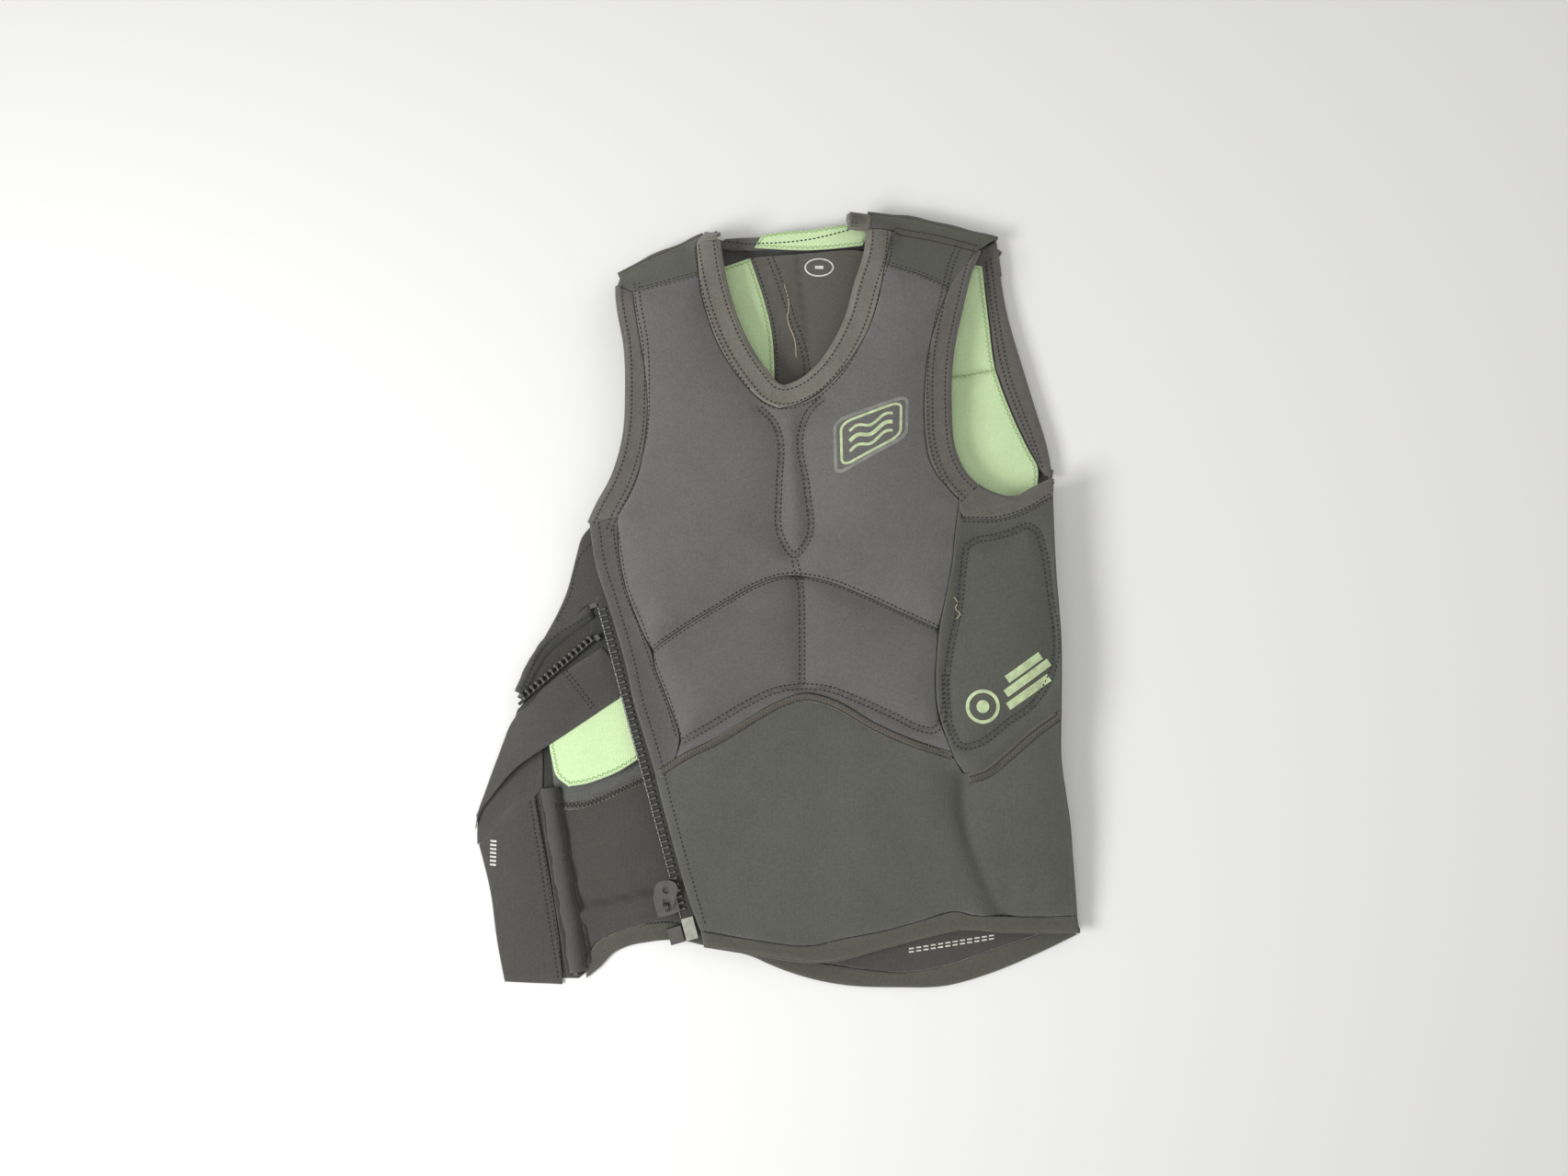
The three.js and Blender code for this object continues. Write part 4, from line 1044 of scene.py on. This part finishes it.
def stitchRows(name, lines, cover, material, pitch=0.0036, length=0.0026, width=0.0013, turn=0.0, swing=0.0,
               lift=0.0001, blend=None, below=False):
    verts, faces = [], []
    sky = Vector((0, 0, -1 if not below else 1))
    for line in lines:
        path = resample(np.asarray(line, float)[:, :2], pitch)
        for i in range(len(path) - 1):
            mid = (path[i] + path[i + 1]) / 2
            way = path[i + 1] - path[i]
            hit = cover.ray_cast(Vector((mid[0], mid[1], -sky.z * castHeight)), sky)
            if not hit[0]:
                continue
            normal = hit[1] if hit[1].z * sky.z < 0 else -hit[1]
            along = Vector((way[0], way[1], 0)).normalized()
            angle = turn + (swing if i % 2 else -swing)
            if angle:
                c, s = math.cos(angle), math.sin(angle)
                along = Vector((along.x * c - along.y * s, along.x * s + along.y * c, 0))
            along = (along - normal * along.dot(normal)).normalized()
            ringAround(hit[0] + normal * lift, along, normal.cross(along), normal, length, width, verts,
                       faces)
    obj = newObject(name, verts, faces, cloths[material])
    if blend:
        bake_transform(obj)
    else:
        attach(obj, "vest")


def both(points, gap):
    path = lineOf(points, 0.002) if not isinstance(points, np.ndarray) else points
    return [offsetLine(path, gap), offsetLine(path, -gap)]


top = coverTree(None)
seam = {"neck": (0.0035, 0.0155, 0.0195), "arm": (0.004, 0.0145, 0.0185), "pad": 0.0021, "flatlock": 0.0013}
neckRows = [offsetLine(neckFree, -d) for d in seam["neck"]]
stitchRows("neckStitches", neckRows, top, "thread")
stitchRows("armStitchesLeft", [offsetLine(armFreeLeft, -d) for d in seam["arm"]], top, "thread")
stitchRows("armStitchesRight", [offsetLine(armFreeRight, -d) for d in seam["arm"]], top, "thread")
padLines = []
for key in ("sternum", "centre", "zipPad", "bellyLow", "arch", "sidePad"):
    padLines += both(rows[key], seam["pad"])
stitchRows("padStitches", padLines, top, "thread")
yokeLines = (both([(-114, 249), (-90, 255), (-64, 262)], 0.0022)
             + both([(87, 271), (114, 262), (138, 251)], 0.0022))
stitchRows("yokeStitches", yokeLines, top, "thread", width=0.001)
frontEdgeLine = lineOf([(-150, 60), (-145, 27), (-137, 2), (-131, -17), (-121, -51), (-114, -83),
                        (-106, -108), (-97, -138), (-90, -166), (-81, -199), (-72, -231), (-64, -258)], 0.002)
stitchRows("placketStitches", [offsetLine(frontEdgeLine, 0.0075)], top, "thread")
stitchRows("hemStitches", [lineOf([(-58, -261), (-12, -269), (24, -273), (53, -267), (84, -261), (110, -254),
                                   (139, -246), (155, -249), (192, -250), (235, -249)], 0.002)], top,
                                   "thread",
           swing=0.5, pitch=0.0028)
stitchRows("sideStitches", both([(146, 62), (174, 62), (197, 69), (217, 81)], 0.0018), top, "thread")
stitchRows("backHemStitches", [lineOf([(24, -287), (63, -292), (96, -295), (133, -290), (169, -278),
                                       (203, -267)]),
                               lineOf([(-155, -285), (-145, -273), (-130, -265), (-107, -258), (-83, -256)])],
           top, "thread", swing=0.45, pitch=0.0028)
waistLine = lineOf([(-92, -137), (-71, -124), (-48, -113), (-23, -98), (2, -84), (22, -78), (45, -84),
                    (73, -100), (102, -113), (136, -124)], 0.002)
sideLine = lineOf([(150, -143), (163, -139), (182, -124), (203, -106), (220, -94)], 0.002)
shoulderLine = lineOf([(96, 303), (130, 297), (163, 288)], 0.002)
stitchRows("flatlockRibs", [waistLine, sideLine, shoulderLine], top, "threadBrown", pitch=0.0013,
           length=0.0052, width=0.0011, turn=math.pi / 2, swing=0.12, lift=0.0003)
stitchRows("flatlockRails", both(waistLine, 0.0027) + both(sideLine, 0.0027) + both(shoulderLine, 0.0027),
           top, "thread", pitch=0.0022, length=0.0023, width=0.0008, lift=0.0003)
stitchRows("backWaistRibs", [lineOf([(-178, -164), (-154, -163), (-131, -154), (-111, -145), (-96, -139)])],
           top, "thread", pitch=0.0016, length=0.005, width=0.0009, turn=math.pi / 2, swing=0.3, lift=0.0002)
insideTop = coverTree(["greenLiningLeft", "greenLiningRight", "centreLining", "collarFacing"])
leftRim = roundedLoop(outlineOf("back_lining_left"), 0.004)
rightRim = roundedLoop(outlineOf("back_lining_right"), 0.004)
collarRim = roundedLoop(outlineOf("collar_facing"), 0.004)


def insetLoop(loop, by):
    area = (loop[:, 0] * np.roll(loop[:, 1], -1) - np.roll(loop[:, 0], -1) * loop[:, 1]).sum()
    closed = np.vstack([loop, loop[:2]])
    return offsetLine(closed, by if area > 0 else -by)


stitchRows("greenStitches", [insetLoop(leftRim, 0.003), insetLoop(rightRim, 0.003),
                             insetLoop(collarRim, 0.0022),
                             lineOf([(76, 186), (110, 184), (143, 184), (178, 190)])], insideTop,
                             "threadGreen",
           pitch=0.0021, length=0.0029, width=0.0009, swing=0.85)
stitchRows("innerSeamStitches", both([(-8, 289), (2, 262), (12, 232), (22, 203), (24, 160)], 0.0022)
           + [insetLoop(leftRim, -0.0022), insetLoop(rightRim, -0.0022)], insideTop, "thread")
stitchRows("backBandStitches", [lineOf([(176, 285), (182, 232), (190, 186), (206, 140), (216, 108)]),
                                lineOf([(172, 283), (178, 230), (185, 188), (200, 145), (213, 112)]),
                                lineOf([(-46, 299), (-20, 296), (26, 299), (66, 309)])], top, "thread")
stitchRows("flapStitches", [lineOf([(-150, -12), (-176, -27), (-187, -36), (-205, -78)]),
                            *both([(-171, -57), (-160, -70), (-147, -87)], 0.0016),
                            lineOf([(-148, 48), (-158, 38), (-168, 2), (-178, -18)])], top, "thread")
flapBlend = flapLow["blend"]
stitchRows("flapLowStitches", [lineOf([(-199, -160), (-190, -210), (-183, -250), (-174, -300)]),
                               lineOf([(-195, -160), (-186, -210), (-179, -250), (-171, -296)])], top,
                               "thread",
           blend=flapBlend)
backTop = BVHTree.FromPolygons(*[[Vector(v.co) for v in bpy.data.objects["backShell"].data.vertices],
                                 [list(f.vertices) for f in bpy.data.objects["backShell"].data.polygons]])
stitchRows("backPadStitches", [both(points, 0.0018)[k] for points, _, _ in backShell["rows"] for k in (0, 1)],
           backTop, "thread", below=True)
print("stage: stitches made")


# printed marks, all plain shapes
def printStrokes(name, strokes, cover, material, thick=0.00018, blend=None):
    verts, faces = [], []
    for points, width, closed in strokes:
        pts = np.array(points, float) * mm
        if closed:
            pts = np.vstack([pts, pts[:1]])
        path = resample(pts, 0.0012)
        if closed:
            tangent = np.vstack([path[1] - path[-2], path[2:] - path[:-2], path[1] - path[-2]])
        else:
            tangent = np.gradient(path, axis=0)
        across = np.stack([-tangent[:, 1], tangent[:, 0]], 1)
        across /= np.maximum(1e-12, np.linalg.norm(across, axis=1))[:, None]
        start = len(verts)
        lanes = (-0.5, -0.17, 0.17, 0.5)
        for i in range(len(path)):
            for level in (0, 1):
                for lane in lanes:
                    x, y = path[i] + across[i] * lane * width * mm
                    hit = dropOn(cover, x, y)
                    z = hit[0].z if hit[0] else verts[-1].z
                    verts.append(Vector((x, y, z + (thick if level == 0 else -thick))))
        size = 2 * len(lanes)
        loops = [0, 1, 2, 3, 7, 6, 5, 4]
        for i in range(len(path) - 1):
            for k in range(8):
                a, b = loops[k], loops[(k + 1) % 8]
                faces.append((start + i * size + a, start + i * size + b, start + (i + 1) * size + b,
                              start + (i + 1) * size + a))
        faces.append([start + k for k in reversed(loops)])
        faces.append([start + (len(path) - 1) * size + k for k in loops])
    obj = newObject(name, verts, faces, cloths[material], smooth=False)
    if blend:
        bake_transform(obj)
    else:
        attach(obj, "vest")


def ellipse(x, y, a, b, count=36):
    return [(x + a * math.cos(2 * math.pi * k / count), y + b * math.sin(2 * math.pi * k / count))
            for k in range(count)]


badge = {"corners": [(46, 96), (102, 128), (103, 160), (45, 139)], "waves": 3}
corners = np.array(badge["corners"], float)
middle = corners.mean(0)


def badgePoint(u, v):
    a = corners[0] * (1 - u) + corners[1] * u
    b = corners[3] * (1 - u) + corners[2] * u
    return tuple(a * (1 - v) + b * v)


def roundedBadge(inset, r=0.14):
    out = []
    for cx, cy, start in ((1 - inset - r, 1 - inset - r, 0), (inset + r, 1 - inset - r, 90),
                          (inset + r, inset + r, 180), (1 - inset - r, inset + r, 270)):
        for k in range(6):
            a = math.radians(start + 18 * k)
            out.append(badgePoint(cx + r * math.cos(a), cy + r * math.sin(a)))
    return out


printStrokes("badgeBorder", [(roundedBadge(0.0), 2.6, True)], top, "printDark")
waves = [([badgePoint(0.2 + 0.6 * t, 0.3 + 0.2 * k + 0.055 * math.sin(t * 2 * math.pi * 1.5)) for t in
           np.linspace(0, 1, 30)], 3.0 if k == 1 else 2.2, False) for k in range(badge["waves"])]
printStrokes("badgeMark", [(roundedBadge(0.085), 2.0, True)] + waves, top, "print")
sideMark = {"centre": (160, -86), "radius": 12, "stripes": [((180, -86), (213, -63)),
                                                            ((178, -76), (213, -51)),
                                                             ((179, -65), (206, -46))]}
printStrokes("sideMark", [(ellipse(*sideMark["centre"], sideMark["radius"], sideMark["radius"]), 2.6, True),
                          (ellipse(*sideMark["centre"], 2.6, 2.6, 18), 5.0, True)]
             + [([a, b], 6.4, False) for a, b in sideMark["stripes"]], top, "print")
printStrokes("sizeMark", [(ellipse(34, 276, 11.5, 7.4), 1.1, True), ([(30.5, 276), (37.5, 276)], 2.6, False)],
             insideTop, "printWhite")
printStrokes("flapMark", [([(-230, -192 - 3.1 * k), (-225, -192.6 - 3.1 * k)], 1.5,
                           False) for k in range(7)], top,
             "printWhite", blend=flapBlend)
careCover = coverTree(["backSkirt", "backHemBinding"])
careDashes = [([(104 + 5.8 * k, -276.5 + 0.9 * k - 2.6 * r), (108 + 5.8 * k, -276 + 0.9 * k - 2.6 * r)], 1.1,
               False) for k in range(12) for r in (0, 1)]
printStrokes("careMark", careDashes, careCover, "printWhite")
print("stage: prints made")


# the zip: teeth, their cords and the moulded parts
toothShape = {"pitch": 0.005}


def toothMesh(centre, along, out, up, verts, faces):
    outline = [(-0.4, 1.35), (1.4, 1.15), (2.6, 0.95), (3.6, 1.55), (5.0, 1.6), (6.0, 1.1), (6.2, 0.0),
               (6.0, -1.1), (5.0, -1.6), (3.6, -1.55), (2.6, -0.95), (1.4, -1.15), (-0.4, -1.35)]
    start = len(verts)
    for h, grow in ((-2.1, 0.78), (-1.6, 1.0), (1.5, 1.0), (2.1, 0.76)):
        for o, a in outline:
            o2 = 3.0 + (o - 3.0) * (0.93 if grow < 1 else 1)
            verts.append(centre + out * o2 * mm + along * a * grow * mm + up * h * mm)
    n = len(outline)
    for level in range(3):
        for k in range(n):
            j = (k + 1) % n
            a, b = start + level * n, start + (level + 1) * n
            faces.append((a + k, b + k, b + j, a + j))
    faces.append([start + k for k in range(n)])
    faces.append([start + 3 * n + k for k in reversed(range(n))])


def tube(path, radius, verts, faces, sides=8):
    start = len(verts)
    for i, p in enumerate(path):
        t = (path[min(i + 1, len(path) - 1)] - path[max(i - 1, 0)]).normalized()
        u = t.cross(Vector((0, 0, 1))).normalized()
        w = t.cross(u)
        for k in range(sides):
            a = 2 * math.pi * k / sides
            verts.append(p + u * math.cos(a) * radius + w * math.sin(a) * radius)
    for i in range(len(path) - 1):
        for k in range(sides):
            j = (k + 1) % sides
            a, b = start + i * sides, start + (i + 1) * sides
            faces.append((a + k, a + j, b + j, b + k))
    faces.append([start + k for k in reversed(range(sides))])
    faces.append([start + (len(path) - 1) * sides + k for k in range(sides)])


def zipRow(name, node, first, last, left, up):
    first, last = Vector(first) * mm, Vector(last) * mm
    along = (last - first).normalized()
    up = Vector(up)
    out = along.cross(up).normalized() * (1 if left else -1)
    up = out.cross(along).normalized() * (1 if out.cross(along).z > 0 else -1)
    length = (last - first).length
    verts, faces = [], []
    for i in range(int(length / toothShape["pitch"])):
        toothMesh(first + along * (i + 0.5) * toothShape["pitch"], along, out, up, verts, faces)
    tube([first + along * length * k / 12 + out * 0.0004 for k in range(13)], 0.0013, verts, faces)
    obj = newObject(name, verts, faces, cloths["teeth"], smooth=False)
    mod = obj.modifiers.new("edges", "BEVEL")
    mod.width = 0.00022
    mod.segments = 2
    mod.limit_method = "ANGLE"
    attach(obj, "vest")
    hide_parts(node)


zipLine = {"top": (-143, -7, 30), "end": (-79, -242, 14)}
zipTop, zipEnd = Vector(zipLine["top"]), Vector(zipLine["end"])
zipWay = (zipEnd - zipTop).normalized()
zipUp = zipWay.cross(Vector((0, 0, 1)).cross(zipWay).normalized())
zipRow("zipTeethFront", "zip_teeth_front", zipTop, zipEnd + zipWay * 10, False, zipUp)
zipRow("zipTeethBackUpper", "zip_teeth_back_upper", (-146, -32, 20.9), (-206, -84, 20.9), True, (0, 0, 1))
zipRow("zipTeethBackLower", "zip_teeth_back_lower", (-184, -152, 6.5), (-160, -284, 6.5), False, (0, 0, 1))
for node in ("zip_slider", "zip_puller", "zip_retainer_box", "zip_end_block", "zip_top_stop_front",
             "zip_top_stop_back", "zip_insertion_pin"):
    piece = nodes[node]
    piece.data.materials.clear()
    piece.data.materials.append(cloths["zipBlock" if node == "zip_end_block" else "zipBody"])
    edges = piece.modifiers.new("edges", "BEVEL")
    edges.width = 0.00035
    edges.segments = 2
    edges.limit_method = "ANGLE"
    edges.angle_limit = math.radians(35)
print("stage: zip made")


# loose threads
def looseThread(name, points, cover, radius=0.00028):
    path = []
    for x, y in spline(np.array(points, float) * mm, 0.0025):
        hit = dropOn(cover, x, y)
        path.append(Vector((x, y, hit[0].z + radius * 1.1)))
    verts, faces = [], []
    tube(path, radius, verts, faces, 6)
    obj = newObject(name, verts, faces, cloths["threadPale"])
    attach(obj, "vest")


looseThread("looseThreadNeck", [(5, 262), (9, 246), (8, 232), (14, 214), (15, 200)], insideTop)
looseThread("looseThreadSide", [(139, 0), (142, -4), (140, -9), (144, -13), (141, -17)], top)
print("stage: loose threads made")

# floor
floorMaterial, _, floorSkin, _ = newMaterial("paleFloor")
floorSkin.inputs["Base Color"].default_value = (0.78, 0.78, 0.77, 1)
floorSkin.inputs["Roughness"].default_value = 0.7
floor = newObject("floor", [(-30, -30, -0.0004), (30, -30, -0.0004), (30, 30, -0.0004), (-30, 30, -0.0004)],
                  [(0, 1, 2, 3)], floorMaterial, smooth=False)

print("stage: finished")
